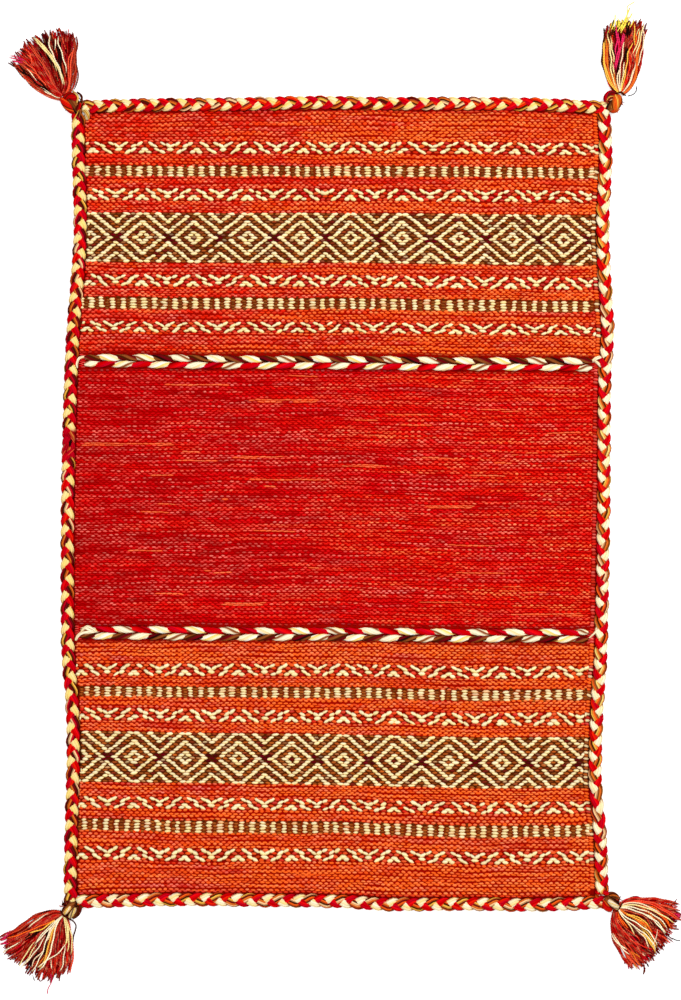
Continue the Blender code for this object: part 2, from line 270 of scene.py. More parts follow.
def yarn_material(name, shade):
    """Yarn: each vertex's own colour, tinted with painted shade away from the crown, with fibres in it.
    """
    material = bpy.data.materials.new(name)
    material.use_nodes = True
    nodes, links = material.node_tree.nodes, material.node_tree.links

    def node(kind, settings, values):
        """A new node. Its inputs get values, or the outputs of other nodes."""
        made = nodes.new("ShaderNode" + kind)
        for key, value in settings.items():
            setattr(made, key, value)
        for socket, value in values.items():
            if isinstance(value, bpy.types.NodeSocket):
                links.new(value, made.inputs[socket])
            else:
                made.inputs[socket].default_value = value
        return made.outputs

    yarn = node("Attribute", {"attribute_name": "yarn"}, {})["Color"]
    depth = node("Attribute", {"attribute_name": "depth"}, {})["Fac"]
    lit = node(
        "MapRange",
        {"interpolation_type": "SMOOTHSTEP"},
        {"From Min": 0.0, "From Max": SHADE_DEPTH, "Value": depth},
    )["Result"]
    unlit = node("Math", {"operation": "SUBTRACT"}, {0: 1.0, 1: lit})["Value"]
    shaded = node(
        "Mix",
        {"data_type": "RGBA", "blend_type": "MULTIPLY"},
        {"A": yarn, "B": (*shade, 1.0), "Factor": unlit},
    )["Result"]

    place = node("TexCoord", {}, {})["Object"]
    scale = {"Scale": FIBRE_SCALE, "Detail": FIBRE_DETAIL, "Vector": place}
    fibres = node("TexNoise", {}, scale)["Fac"]
    ranges = zip(("From Min", "From Max", "To Min", "To Max"), FIBRE_NOISE + FIBRE_TONE)
    tone = node("MapRange", {}, {**dict(ranges), "Value": fibres})["Result"]
    toned = node("VectorMath", {"operation": "SCALE"}, {0: shaded, "Scale": tone})["Vector"]
    relief = {"Strength": FIBRE_BUMP, "Distance": FIBRE_RELIEF, "Height": fibres}
    bumped = node("Bump", {}, relief)["Normal"]

    shader = nodes["Principled BSDF"]
    shader.inputs["Roughness"].default_value = YARN_ROUGHNESS
    shader.inputs["Specular IOR Level"].default_value = 0.0
    links.new(toned, shader.inputs["Base Color"])
    links.new(bumped, shader.inputs["Normal"])
    return material


# Painted shade: the colours that the yarns of the weave, the plaits and the tassels are multiplied by
# away from their crowns.
WEAVE_SHADE = (0.46, 0.04, 0.02)
PLAIT_SHADE = (0.34, 0.12, 0.05)
weave_yarn = yarn_material("weave_yarn", WEAVE_SHADE)
plait_yarn = yarn_material("plait_yarn", PLAIT_SHADE)
tassel_yarn = yarn_material("tassel_yarn", PLAIT_SHADE)

# ---------------------------------------------------------------- the weave

CLOTH_TOP = 2.9  # the sheet that the beads of weft sit in
CLOTH_TUCK = 1.8  # how far it goes on under the plaits
BEAD_CROWN = 4.25
BEAD_RIM = 2.7

REPEAT_PITCH = 58.3  # one diamond
PLAIN_STEPS = 18  # half beads in one repeat of plain weave
CHART_STEPS = 16  # and in one of the charted bands

# Middles of the nine diamonds, in the upper and in the lower half.
UPPER_REPEATS = (-219.4, -162.6, -103.1, -44.0, 11.2, 68.3, 131.5, 190.8, 247.3)
LOWER_REPEATS = (-228.9, -172.3, -113.2, -54.1, 3.1, 59.6, 120.1, 179.0, 236.7)
UPPER_DOWN_TO, LOWER_UP_TO = 150.0, -140.0

# Bands from the top down: the weave, the height of its upper edge at the middle of the rug, its
# rows, and how far its pattern stands to the right of the diamonds.
Band = namedtuple("Band", "weave top rows shift")
BANDS = (
    Band("orange", 429.6, 12, 0.0),
    Band("zigzag", 397.4, 4, 2.6),
    Band("orange", 384.1, 5, 0.0),
    Band("check", 370.7, 4, -3.6),
    Band("orange", 359.1, 5, 0.0),
    Band("zigzag", 345.2, 4, -0.8),
    Band("orange", 331.9, 5, 0.0),
    Band("diamond", 318.6, 19, 0.0),
    Band("orange", 263.1, 5, 0.0),
    Band("zigzag", 249.8, 4, -1.5),
    Band("orange", 236.4, 5, 0.0),
    Band("check", 224.2, 4, 1.6),
    Band("orange", 212.0, 5, 0.0),
    Band("zigzag", 197.6, 4, -3.6),
    Band("orange", 185.4, 9, 0.0),
    Band("twined", 162.1, 0, 0.0),
    Band("red", 145.4, 119, 0.0),
    Band("twined", -138.8, 0, 0.0),
    Band("orange", -155.4, 10, 0.0),
    Band("zigzag", -181.5, 4, -0.6),
    Band("orange", -195.4, 5, 0.0),
    Band("check", -207.6, 4, 5.4),
    Band("orange", -219.2, 5, 0.0),
    Band("zigzag", -233.1, 4, 0.0),
    Band("orange", -247.5, 5, 0.0),
    Band("diamond", -259.7, 19, 0.0),
    Band("orange", -316.4, 6, 0.0),
    Band("zigzag", -331.9, 4, -0.6),
    Band("orange", -345.2, 4, 0.0),
    Band("check", -356.9, 4, 3.4),
    Band("orange", -369.6, 6, 0.0),
    Band("zigzag", -386.3, 4, -0.6),
    Band("orange", -400.7, 13, 0.0),
)
BOTTOM = -436.2

# How much higher the rows lie at five places across than at the middle, from the top down.
SLOPE_X = (-272.5, -156.0, 0.0, 155.0, 271.0)
Slope = namedtuple("Slope", "y rises")
SLOPES = (
    Slope(421.8, (0.0, 0.0, 0.0, 0.0, -1.7)),
    Slope(244.2, (1.1, 0.0, 0.0, -2.2, -3.3)),
    Slope(188.7, (1.1, 0.0, 0.0, -2.2, -3.3)),
    Slope(155.4, (0.0, 0.0, 0.0, -2.8, -3.3)),
    Slope(-144.3, (0.0, 0.0, 0.0, -3.3, -3.3)),
    Slope(-188.7, (0.0, 0.0, 0.0, -3.3, -2.2)),
    Slope(-238.7, (3.3, 1.1, 0.0, -3.3, -2.2)),
    Slope(-288.6, (4.4, 2.2, 0.0, -4.4, -4.4)),
    Slope(-338.6, (3.3, 2.2, 0.0, -3.3, -2.2)),
    Slope(-364.1, (4.4, 1.1, 0.0, -5.6, -3.3)),
    Slope(-394.1, (2.2, -1.1, 0.0, -4.4, -2.2)),
    Slope(-436.2, (1.1, 1.1, 0.0, -2.2, -3.3)),
)


def rise(x, y):
    """How much higher than at the middle a row at height y lies at x."""
    heights = [s.y for s in SLOPES][::-1]
    columns = [
        np.interp(y, heights, [s.rises[k] for s in SLOPES][::-1]) for k in range(len(SLOPE_X))
    ]
    return np.interp(x, SLOPE_X, columns)


def band_edge(i, x):
    """Height of the upper edge of band i at x."""
    if i == 0:
        return panel_top(x)
    if i == len(BANDS):
        return panel_bottom(x)
    return BANDS[i].top + rise(x, BANDS[i].top)


def warp_x(repeat, y, steps_out=2):
    """Where a warp stands at height y, counted in repeats from the first diamond."""
    number = np.arange(-steps_out, len(UPPER_REPEATS) + steps_out)

    def reach(places):
        before = [places[0] - REPEAT_PITCH * k for k in range(steps_out, 0, -1)]
        after = [places[-1] + REPEAT_PITCH * k for k in range(1, steps_out + 1)]
        return np.interp(repeat, number, [*before, *places, *after])

    t = np.clip((UPPER_DOWN_TO - y) / (UPPER_DOWN_TO - LOWER_UP_TO), 0, 1)
    return reach(UPPER_REPEATS) + (reach(LOWER_REPEATS) - reach(UPPER_REPEATS)) * t


# A charted band from its top row down: the half beads, counted from a diamond's middle, in cream.
ZIGZAG_CHART = ((2, 6, 10, 14), (3, 7, 9, 13), (0, 4, 8, 12), (1, 5, 8, 11, 15))


def chart_yarn(weave, step, row, rows):
    """The yarn of the bead at a half step and a row of a charted band."""
    if weave == "diamond":
        across = abs((step + CHART_STEPS // 2) % CHART_STEPS - CHART_STEPS // 2)
        rings = across + abs(row - rows // 2)
        joint = across > CHART_STEPS // 2 - 2 and abs(row - rows // 2) < 2
        return "cream" if rings % 4 == 2 else "wine" if joint else "brown"
    return "cream" if step % CHART_STEPS in ZIGZAG_CHART[row] else "deep_red"


# A bead of weft: two tips and two rings of points, each with a flat crown between its two rims.
BEAD_RINGS = (-0.38, 0.38)
BEAD_SIDES = (-0.95, -0.36, 0.36, 0.95)


def bead_shape():
    """Points of a bead of unit half length, half height and crown, its triangles, and its depths, which
    set its painted shade.
    """
    points = [(-1.0, 0.0, 0.0)]
    points += [(ring, side, float(abs(side) < 0.5)) for ring in BEAD_RINGS for side in BEAD_SIDES]
    points.append((1.0, 0.0, 0.0))
    faces = []
    for a in (1, 2, 3):
        faces += [(0, a + 1, a), (9, a + 4, a + 5), (a, a + 1, a + 5), (a, a + 5, a + 4)]
    points, faces = np.array(points), np.array(faces)
    for k, (a, b, c) in enumerate(faces):
        if np.cross(points[b] - points[a], points[c] - points[a])[2] < 0:
            faces[k] = (a, c, b)
    return points, faces, points[:, 2]


BEAD_POINTS, BEAD_FACES, BEAD_DEPTHS = bead_shape()
BEAD_UPPER_CROWN, BEAD_LOWER_CROWN, BEAD_TIPS = (3, 7), (2, 6), (0, 9)

# Beads of weft: middles, half lengths and heights, slopes, crowns' heights, and colours, of which gleam
# is the crown's painted highlight and rim the edge's colour with painted shade. light is how much light
# gets to the edge, from 0 to 1, painted in as its depth.
Beads = namedtuple("Beads", "x y long high slope crown colour gleam rim light")


def lay_beads(yarns, beads):
    """Adds lens-shaped beads of weft at their places."""
    count = len(beads.x)
    size = np.stack([beads.long, beads.high, np.ones(count)], axis=1)
    local = BEAD_POINTS[None] * size[:, None]
    x = beads.x[:, None] + local[:, :, 0]
    y = beads.y[:, None] + local[:, :, 1] + local[:, :, 0] * beads.slope[:, None]
    z = BEAD_RIM + local[:, :, 2] * (beads.crown[:, None] - BEAD_RIM)
    points = np.stack([x, y, z], axis=2)
    per_bead = len(BEAD_POINTS)
    faces = BEAD_FACES[None] + (np.arange(count) * per_bead)[:, None, None]
    # Painted light: the upper crown takes the painted highlight, the lower crown a fifth of it, the
    # tips the bead's colour and the rims the rim colour, painted darker still where their depth is low.
    colours = np.repeat(beads.rim[:, None, :], per_bead, axis=1)
    colours[:, BEAD_UPPER_CROWN] = beads.gleam[:, None, :]
    colours[:, BEAD_LOWER_CROWN] = mixed(beads.colour, beads.gleam, 0.2)[:, None, :]
    colours[:, BEAD_TIPS] = beads.colour[:, None, :]
    depths = np.maximum(BEAD_DEPTHS[None, :], beads.light[:, None])
    yarns.add(points, faces, colours.reshape(-1, 3), depths.ravel())


def lay_bead(yarns, *values):
    """Adds one bead, from its own value in each column of Beads."""
    lay_beads(yarns, Beads(*(np.asarray(value)[None] for value in values)))


REACH = 700.0  # across the rug, that the random runs cover


def random_runs(cell, blend):
    """Random runs along each row, from -1 to 1, that blend into those of the row above.

    cell is about how long one is, and blend the share of it that comes from the row above.
    """
    table = draw.uniform(-1, 1, (TOTAL_ROWS + 1, int(REACH / cell) + 2))
    for row in range(1, len(table)):
        table[row] = (1 - blend) * table[row] + blend * table[row - 1]
    return table / np.abs(table).max()


def run_value(table, row, x):
    """What the random runs of a row say at x."""
    places = (np.asarray(x) / REACH + 0.5) * (table.shape[1] - 1)
    return np.interp(places, np.arange(table.shape[1]), table[row])


TOTAL_ROWS = sum(band.rows for band in BANDS)
# What varies along the rows: the dye in long and in short runs, how strong the painted highlight on the
# yarn is, patches over many rows, how far a row strays, and how hard it is pressed.
long_runs = random_runs(62.0, 0.2)
short_runs = random_runs(15.0, 0.0)
shine_runs = random_runs(34.0, 0.0)
patches = random_runs(50.0, 0.84)
wander = random_runs(26.0, 0.3)
press = random_runs(13.0, 0.0)
# How strong the painted highlight of each pass is, and which red rows have a weaker one.
PASS_SHINE = draw.uniform(0.15, 0.85, TOTAL_ROWS + 1)
ROW_SHINE = np.where(draw.uniform(0, 1, TOTAL_ROWS + 1) < 0.4, 0.5, 1.0)  # some red rows are duller

# Passes of orange yarn in the red field: a height, and from where to where.
Streak = namedtuple("Streak", "y start end")
STREAKS = (
    Streak(127.7, -196, -126), Streak(109.9, -104, -26), Streak(133.2, 134, 190),
    Streak(137.5, -57, -26), Streak(124.7, 215, 262), Streak(99.1, 156, 200),
    Streak(95.5, 50, 100), Streak(87.7, 4, 40), Streak(82.1, 52, 122), Streak(73.8, 226, 270),
    Streak(72.1, 32, 50), Streak(61.9, -285, -185), Streak(54.4, -176, -151),
    Streak(51.0, 192, 268), Streak(47.4, -121, -66), Streak(47.0, 89, 122),
    Streak(43.3, -181, -137), Streak(37.7, 4, 52), Streak(41.4, 170, 190),
    Streak(27.8, 140, 181), Streak(26.6, -212, -187), Streak(22.5, -100, -20),
    Streak(15.9, -83, -34), Streak(2.2, -129, -104), Streak(-4.4, -204, -181),
    Streak(-7.8, 95, 146), Streak(-12.8, -220, -187), Streak(-33.3, 61, 74),
    Streak(-34.4, -96, -52), Streak(-50.0, 122, 170), Streak(-56.0, -234, -198),
    Streak(-74.4, -37, -15), Streak(-79.7, -160, -118), Streak(-81.6, 126, 184),
    Streak(-96.6, 181, 198), Streak(-102.1, 181, 226), Streak(-103.8, -204, -174),
    Streak(-114.0, 90, 134), Streak(-115.4, -131, -85), Streak(-127.3, 189, 268),
)  # fmt: skip

SELVEDGE_WIDTH = 5.0
HALF_WIDTH = 290.0  # of the panel, from which the colours reckon how far right they are
STRAY = {"orange": 0.42, "red": 0.26}  # of a row's pitch, by which it strays at most
PLAIN_HIGH = {"orange": 0.66, "red": 0.57}  # half a bead's height, in pitches
PAIRED_BY = 0.1  # of a pitch, by which the two rows of one pass of yarn lie closer together
DROPPED = 0.012  # share of the charted beads that are brown where the chart has cream
STREAK_HALF_HEIGHT = 1.25

# A charted weave: how uneven its beads are, how much its cream ones slant and whether those of its
# end rows do, half their height in pitches, how far they reach over their neighbours, and whether
# two rows close up.
Chart = namedtuple("Chart", "rough lean ends_lean tall stretch paired")
CHARTS = {
    "zigzag": Chart(0.17, 1.3, True, 0.76, 1.15, 1),
    "diamond": Chart(0.14, 0.5, False, 0.75, 1.08, 0),
}
STROKE_SLOPE = 0.3  # of a cream bead that slants by 1
LEVEL_STRETCH = 1.3  # of one that lies level
UPPER_FADED, LOWER_FADED = 0.15, 0.5  # how far the dark charted yarn has faded to orange


def in_streak(x, y):
    """Which beads of the red field are of orange yarn."""
    inside = np.zeros(len(x), bool)
    for streak in STREAKS:
        level = np.abs(y - streak.y) < STREAK_HALF_HEIGHT
        inside |= level & (x > streak.start) & (x < streak.end)
    return inside


def orange_yarn(x, y, mottle, shine, golden):
    """Colour, gleam, rim and light of orange beads, reddest at the upper left: the gleam a painted
    highlight, the rim and light painted shade at the edge.
    """
    right = x / HALF_WIDTH
    lean = 0.62 - 0.2 * right - 0.38 * (y < 0) + 0.5 * held(-right) * (y > 0)
    colour = mixed(INK["orange"], INK["flame"], held(lean + 0.7 * mottle))
    colour = mixed(colour, INK["dark_red"], held(0.05 + 0.3 * mottle))
    colour = mixed(colour, INK["amber"], held(golden, 0.5))
    gleam = mixed(INK["pale_orange"], INK["pale_red"], held(0.2 - 0.2 * right + 0.6 * mottle))
    rim = mixed(colour, INK["dark_red"], 0.75)
    return colour, mixed(colour, gleam, shine), rim, np.full(len(x), 0.06)


def red_yarn(x, y, mottle, shine, long_run):
    """Colour, gleam, rim and light of red beads, brighter towards the right, with the streaks: the
    gleam a painted highlight, stronger towards the right, the rim and light painted shade at the edge,
    darker beside a strong highlight.
    """
    right = x / HALF_WIDTH
    shine = shine * (0.95 + 0.2 * right)
    colour = mixed(INK["red"], INK["deep_red"], held(0.38 - 0.5 * right + 0.9 * mottle))
    colour = mixed(colour, INK["flame"], held(0.16 + 0.3 * right - 0.5 * long_run, 0.6))
    colour = mixed(colour, INK["dark_red"], held(mottle - 0.35 - 0.25 * right))
    gleam = mixed(INK["pale_red"], INK["pale_orange"], held(0.3 + 0.5 * right - 0.7 * long_run))
    streak = in_streak(x, y)
    colour[streak] = mixed(INK["flame"], INK["orange"], 0.5)
    gleam[streak] = mixed(INK["pale_orange"], INK["pale_red"], 0.3)
    shine[streak] = draw.uniform(0.3, 0.9, streak.sum())
    rim = mixed(colour, INK["dark_red"], 0.66)
    return colour, mixed(colour, 1.08 * gleam, shine), rim, np.clip(0.3 - 0.3 * shine, 0.05, 1)


def plain_yarn(weave, x, y, row):
    """Colour, gleam, rim and light of beads of plain weave, mottled along each pass of yarn. shine is
    how strong the painted highlight is.
    """
    red = weave == "red"
    there_and_back = row // 2
    long_run = run_value(long_runs, there_and_back, x)
    mottle = 0.6 * long_run + 0.5 * run_value(short_runs, there_and_back, x)
    mottle += np.where(y < 0, 1.0, 0.6) * (0.3 if red else 1.0) * run_value(patches, row, x)
    lane = row if red else there_and_back
    shine = PASS_SHINE[lane] + 0.6 * run_value(shine_runs, lane, x)
    shine += 0.45 * run_value(short_runs, row, x)
    apart = draw.uniform(0.0, 1.2, len(x))
    if red:
        shine = np.clip((shine - 0.16) / 0.34, 0.03, 1) * apart * ROW_SHINE[row]
        return red_yarn(x, y, mottle, shine, long_run)
    # Painted highlights are stronger towards the right.
    shine = shine + 0.18 * x / HALF_WIDTH - 0.1 * mottle + 0.3
    shine = np.clip(shine / 0.6, 0.2, 1) * apart
    return orange_yarn(x, y, mottle, shine, run_value(patches, there_and_back, -x) - 0.3)


def charted_yarn(weave, names, faded):
    """Colour, gleam, rim and light of beads of a charted band, each of the yarn named: the gleams
    painted highlights, the rims and light painted shade at the edges.
    """
    count = len(names)

    def chance(power=1, low=0.0, high=1.0):
        return draw.uniform(low, high, count) ** power

    cream = np.array([name == "cream" for name in names])[:, None]
    light = mixed(INK["cream"], INK["straw"], chance(high=0.8))
    if weave == "zigzag":
        dark = mixed(INK["deep_red"], INK["flame"], chance(high=0.7))
        dark = mixed(dark, INK["dark_red"], chance(high=0.5))
        dark = mixed(dark, INK["orange"], chance(3.3 - 4 * faded) * 0.8)
        edge = mixed(INK["dark_red"], INK["dark_brown"], chance())
        edge = mixed(edge, INK["orange"], 0.3 * faded)
        dark_gleam = mixed(dark, INK["pale_red"], chance(high=0.25))
    else:
        dark = mixed(INK["dark_brown"], INK["brown"], chance(0.7, low=0.1))
        dark = mixed(dark, INK["amber"], faded * chance())
        dark = mixed(dark, INK["wine"], chance(3))
        joint = np.array([name == "wine" for name in names])
        dark[joint] = mixed(INK["wine"], INK["black"], draw.uniform(0, 0.6, joint.sum()))
        edge = np.broadcast_to(INK["black"], dark.shape)
        dark_gleam = mixed(dark, INK["amber"], chance(2) * 0.6 * ~joint)
        dark_gleam = mixed(dark_gleam, INK["cream"], chance(16) * 0.8)
    # The gleams are painted highlights; the edge colours of the dark and the cream beads are painted
    # shade at their rims.
    gleam = mixed(INK["pale_cream"], light, chance(high=0.5))
    cream_rim_shade = mixed(INK["brown"], INK["olive"], chance())
    return (
        np.where(cream, light, dark),
        np.where(cream, gleam, dark_gleam),
        np.where(cream, cream_rim_shade, edge),
        np.where(cream[:, 0], 0.14, 0.3),
    )


# The yarns of the selvedge's stitches beside each weave, turn by turn: the yarn and the colour of its
# painted highlight.
SELVEDGE_YARNS = {
    "orange": (("orange", "pale_orange"), ("orange", "pale_orange")),
    "red": (("red", "pale_red"), ("deep_red", "pale_red")),
    "twined": (("red", "pale_red"), ("deep_red", "pale_red")),
    "zigzag": (("cream", "pale_cream"), ("deep_red", "pale_red")),
    "check": (("cream", "pale_cream"), ("brown", "amber")),
    "diamond": (("cream", "pale_cream"), ("brown", "amber")),
}


def sway(x, y):
    """How far a row wanders up and down, as hand-beaten rows do."""
    return 0.42 * np.sin(x / 23 + y / 31) + 0.3 * np.sin(x / 11.3 - y / 19 + 1.7)


def stroke_lean(weave, step, row, rows):
    """How a cream bead slants to carry on its neighbours' line: 1 rises to the right, -1 falls."""
    if weave == "diamond":
        across = (step + CHART_STEPS // 2) % CHART_STEPS - CHART_STEPS // 2
        return -np.sign(across) * np.sign(rows // 2 - row)
    place = step % CHART_STEPS
    foot = place in (1, CHART_STEPS - 1) and row == rows - 1
    return np.sign(place - CHART_STEPS // 2) * (place != 0) * (0.35 if foot else 1.0)


def plain_row(beads, weave, number):
    """A row of plain beads, strayed and pressed by hand. Their height comes in as the pitch."""
    x, pitch, count = beads.x, beads.high, len(beads.x)
    stray = STRAY[weave] * run_value(wander, number, x)
    pressed = run_value(press, number, x) + draw.normal(0, 0.3, count)
    y = beads.y + sway(x, beads.y) + pitch * (stray + PAIRED_BY * (1 if number % 2 else -1))
    high = pitch * (PLAIN_HIGH[weave] + 0.17 * pressed)
    long = beads.long * (1 - 0.12 * pressed)
    slope = beads.slope + 0.12 * run_value(wander, number, -x) + draw.normal(0, 0.05, count)
    colours = plain_yarn(weave, x, y, number)
    if weave == "red":
        drawn_out = in_streak(x, y)
        long = long * np.where(drawn_out, 1.5, 1.0)
        high = high * np.where(drawn_out, 0.8, 1.0)
    return Beads(x, y, long, high, slope, beads.crown, *colours)


def charted_row(beads, band, steps, row):
    """A row of charted beads at the half steps given. Their height comes in as the pitch."""
    chart, pitch, count = CHARTS[band.weave], beads.high, len(beads.x)
    names = [
        "brown" if draw.random() < DROPPED else chart_yarn(band.weave, step, row, band.rows)
        for step in steps
    ]
    colours = charted_yarn(band.weave, names, UPPER_FADED if band.top > 0 else LOWER_FADED)
    cream = np.array([name == "cream" for name in names])
    lean = np.array([stroke_lean(band.weave, step, row, band.rows) for step in steps])
    lean = lean * (chart.lean * (chart.ends_lean or 0 < row < band.rows - 1))
    uneven = draw.uniform(1 - chart.rough, 1 + chart.rough, count)
    high = pitch * np.where(cream, chart.tall, 0.62) * uneven
    stretch = np.where(lean == 0, LEVEL_STRETCH, chart.stretch)
    closer = chart.paired * cream * (1 if row % 2 else -1)
    slope = beads.slope + STROKE_SLOPE * lean * cream + draw.normal(0, chart.rough / 2, count)
    return Beads(
        beads.x - 0.7 * lean * closer + draw.normal(0, 3 * chart.rough, count),
        beads.y + 0.13 * pitch * closer,
        beads.long * np.where(cream, stretch, 0.95),
        high,
        slope,
        beads.crown + np.where(cream, 0.4, -0.1),
        *colours,
    )


LEAST_BEAD = 2.2  # beads cut shorter than this by the panel's edge are left out
SLOPE_RUN = 5.0  # to either side of a bead, over which its row's slope is taken
# Painted shadow: how much of a bead's colour is left in the rows beside a twined row and beside a
# plait.
BESIDE_TWINE = (0.5, 0.3, 0.4)  # how much red, green and blue is left in the shade of a twined row
BESIDE_PLAIT = (0.75, 0.3, 0.4)  # and of a plait


def row_height(i, down, x):
    """Height at x of the row that lies so far down band i, as a share of the band."""
    return band_edge(i, x) * (1 - down) + band_edge(i + 1, x) * down


def weave_band(yarns, i, first_row):
    """The rows of one plain or charted band."""
    band = BANDS[i]
    below = BANDS[i + 1].top if i + 1 < len(BANDS) else BOTTOM
    plain = band.weave in STRAY
    steps = PLAIN_STEPS if plain else CHART_STEPS
    odd = band.rows // 2 % 2 if band.weave == "diamond" else 0
    for row in range(band.rows):
        down = (row + 0.5) / band.rows
        middle = band.top + (below - band.top) * down
        k = np.arange(-2 * steps, 10 * steps)
        k = k[(k + row) % 2 == odd]
        x = warp_x(k / steps, middle) + band.shift
        half = (warp_x((k + 1) / steps, middle) - warp_x((k - 1) / steps, middle)) / 2
        start = np.maximum(x - half, panel_left(middle) - 0.5)
        end = np.minimum(x + half, panel_right(middle) - SELVEDGE_WIDTH + 0.6)
        kept = end - start > LEAST_BEAD
        k, start, end = k[kept], start[kept], end[kept]
        x, count = (start + end) / 2, len(k)
        pitch = (band_edge(i, x) - band_edge(i + 1, x)) / band.rows
        y = band_edge(i, x) - (row + 0.5) * pitch
        rises = row_height(i, down, x + SLOPE_RUN) - row_height(i, down, x - SLOPE_RUN)
        crown = BEAD_CROWN + draw.uniform(-0.25, 0.2, count)
        level = Beads(x, y, (end - start) / 2, pitch, rises / (2 * SLOPE_RUN), crown, *[None] * 4)
        if plain:
            beads = plain_row(level, band.weave, first_row + row)
        else:
            beads = charted_row(level, band, k, row)
        tone = draw.uniform(0.88, 1.06, (count, 1))
        # The rows beside a twined row or a plait are darkened with painted shadow.
        ends = {0: i - 1, band.rows - 1: i + 1}
        if row in ends:
            beside = ends[row]
            if not 0 <= beside < len(BANDS):
                tone = tone * BESIDE_PLAIT
            elif BANDS[beside].weave == "twined":
                tone = tone * BESIDE_TWINE
        lay_beads(
            yarns,
            Beads(
                beads.x + draw.normal(0, 0.2, count),
                beads.y + draw.normal(0, 0.13, count),
                beads.long * draw.uniform(0.88, 1.02, count),
                beads.high * draw.uniform(0.88, 1.06, count),
                beads.slope + draw.normal(0, 0.03, count),
                beads.crown,
                beads.colour * tone,
                beads.gleam * tone,
                beads.rim * tone,
                beads.light,
            ),
        )


CHECK_BLOCKS = 5  # in one repeat
CREAM_HALF, BROWN_HALF = 4.1, 2.8  # half the width of a block
STAGGER = 0.32  # to the side, of every other bead of a block


def check_band(yarns, i):
    """Blocks of stacked cream beads, with brown ones between them half a row higher."""
    band = BANDS[i]
    middle = (band.top + BANDS[i + 1].top) / 2
    in_upper_half = middle > 0
    for half in range(-2 * 2 * CHECK_BLOCKS, 10 * 2 * CHECK_BLOCKS):
        cream = half % 2 == 0
        x0 = float(warp_x(half / (2 * CHECK_BLOCKS), middle)) + band.shift
        x0 += draw.normal(0, 0.35)
        if not panel_left(middle) - 1.5 < x0 < panel_right(middle) - 4.5:
            continue
        wide = (CREAM_HALF if cream else BROWN_HALF) * draw.uniform(0.8, 1.14)
        side = draw.choice([-1, 1])
        upper, lower = float(band_edge(i, x0)), float(band_edge(i + 1, x0))
        pitch = (upper - lower) / band.rows
        up = draw.normal(0, 0.12)
        for row in range(band.rows if cream else band.rows + 1):
            colour = mixed(INK["cream"], INK["straw"], 0.7 * draw.random())
            colour = mixed(colour, INK["amber"], draw.random() ** (8 if in_upper_half else 4))
            if not cream:
                colour = mixed(INK["brown"], INK["dark_brown"], 0.8 * draw.random())
                amber = (0.1 if in_upper_half else 0.4) * draw.random()
                colour = mixed(colour, INK["amber"], amber)
            if not cream and row == 0:
                colour = INK["dark_brown"]
            # Cream beads get a painted highlight of pale cream and brown ones a little amber; their
            # rims are painted shade, olive beside cream and dark brown beside brown.
            pale = 0.3 + 0.7 * draw.random()
            gleam = ("pale_cream", pale) if cream else ("amber", 0.15)
            tone = draw.uniform(0.88, 1.0)
            lay_bead(
                yarns,
                x0 + side * (STAGGER if row % 2 else -STAGGER) + draw.normal(0, 0.38),
                upper - (row + (0.62 if cream else 0.0) + up) * pitch + draw.normal(0, 0.1),
                wide * draw.uniform(0.82, 1.12),
                pitch * (0.62 if cream else 0.55) * draw.uniform(0.85, 1.1),
                draw.normal(-0.01, 0.08),
                BEAD_CROWN + (0.35 if cream else -0.2),
                colour * tone,
                mixed(colour, INK[gleam[0]], gleam[1]) * tone,
                INK["olive" if cream else "dark_brown"] * tone,
                0.25,
            )


# The back of the cloth shows each band's colours run together.
BACK = {
    "orange": (208, 60, 24),
    "red": (192, 28, 20),
    "zigzag": (205, 115, 80),
    "check": (180, 132, 86),
    "diamond": (170, 126, 84),
    "twined": (180, 104, 74),
}


CLOTH_COLUMNS = 64
CLOTH_RUN = 12.0  # about how far apart two rows of the sheet's points are
CLOTH_SEAM = 0.004  # of a band's height, that its rows of points keep from its edges


def build_cloth():
    """The sheet under the beads: a closed thin solid whose rows follow the bands' edges, its top
    painted with the shade between the beads.
    """
    across = np.linspace(0, 1, CLOTH_COLUMNS + 1)
    rows, inks, back = [], [], []
    x_near = np.interp(across, (0, 1), (-291.0, 285.0))
    for i, band in enumerate(BANDS):
        upper = band_edge(i, x_near) + CLOTH_TUCK * (i == 0)
        lower = band_edge(i + 1, x_near) - CLOTH_TUCK * (i == len(BANDS) - 1)
        runs = max(1, round((upper.mean() - lower.mean()) / CLOTH_RUN))
        for run in range(runs + 1):
            y = upper + (lower - upper) * (CLOTH_SEAM + (1 - 2 * CLOTH_SEAM) * run / runs)
            left, right = panel_left(y) - CLOTH_TUCK, panel_right(y) + CLOTH_TUCK
            x = left * (1 - across) + right * across
            rows.append(np.stack([x, y, np.full_like(x, CLOTH_TOP)], axis=1))
            # The top takes the painted shade between the beads, the back the bands' own colours.
            inks.append(linear(GAP_SHADE[band.weave]))
            back.append(linear(BACK[band.weave]))
    top = np.array(rows)
    count_rows, count = top.shape[:2]
    under = top * (1, 1, 0)
    n = count_rows * count
    faces = []
    for r in range(count_rows - 1):
        for a in range(r * count, (r + 1) * count - 1):
            b, d, e = a + 1, a + count, a + count + 1
            faces += [(a, d, e), (a, e, b), (n + a, n + e, n + d), (n + a, n + b, n + e)]
    rim = list(range(count))
    rim += range(2 * count - 1, n, count)
    rim += range(n - 2, n - count - 1, -1)
    rim += range(n - 2 * count, 0, -count)
    for a, b in zip(rim, rim[1:] + rim[:1]):
        faces += [(a, b, n + b), (a, n + b, n + a)]
    cloth = Yarns()
    cloth.add([top, under], faces, np.repeat(np.array(inks + back), count, axis=0), 1.0)
    return cloth.piece("cloth", weave_yarn, "woven_cloth")


STITCH_PITCH = 3.5
STITCHES_FROM, STITCHES_TO = 429.0, -435.0


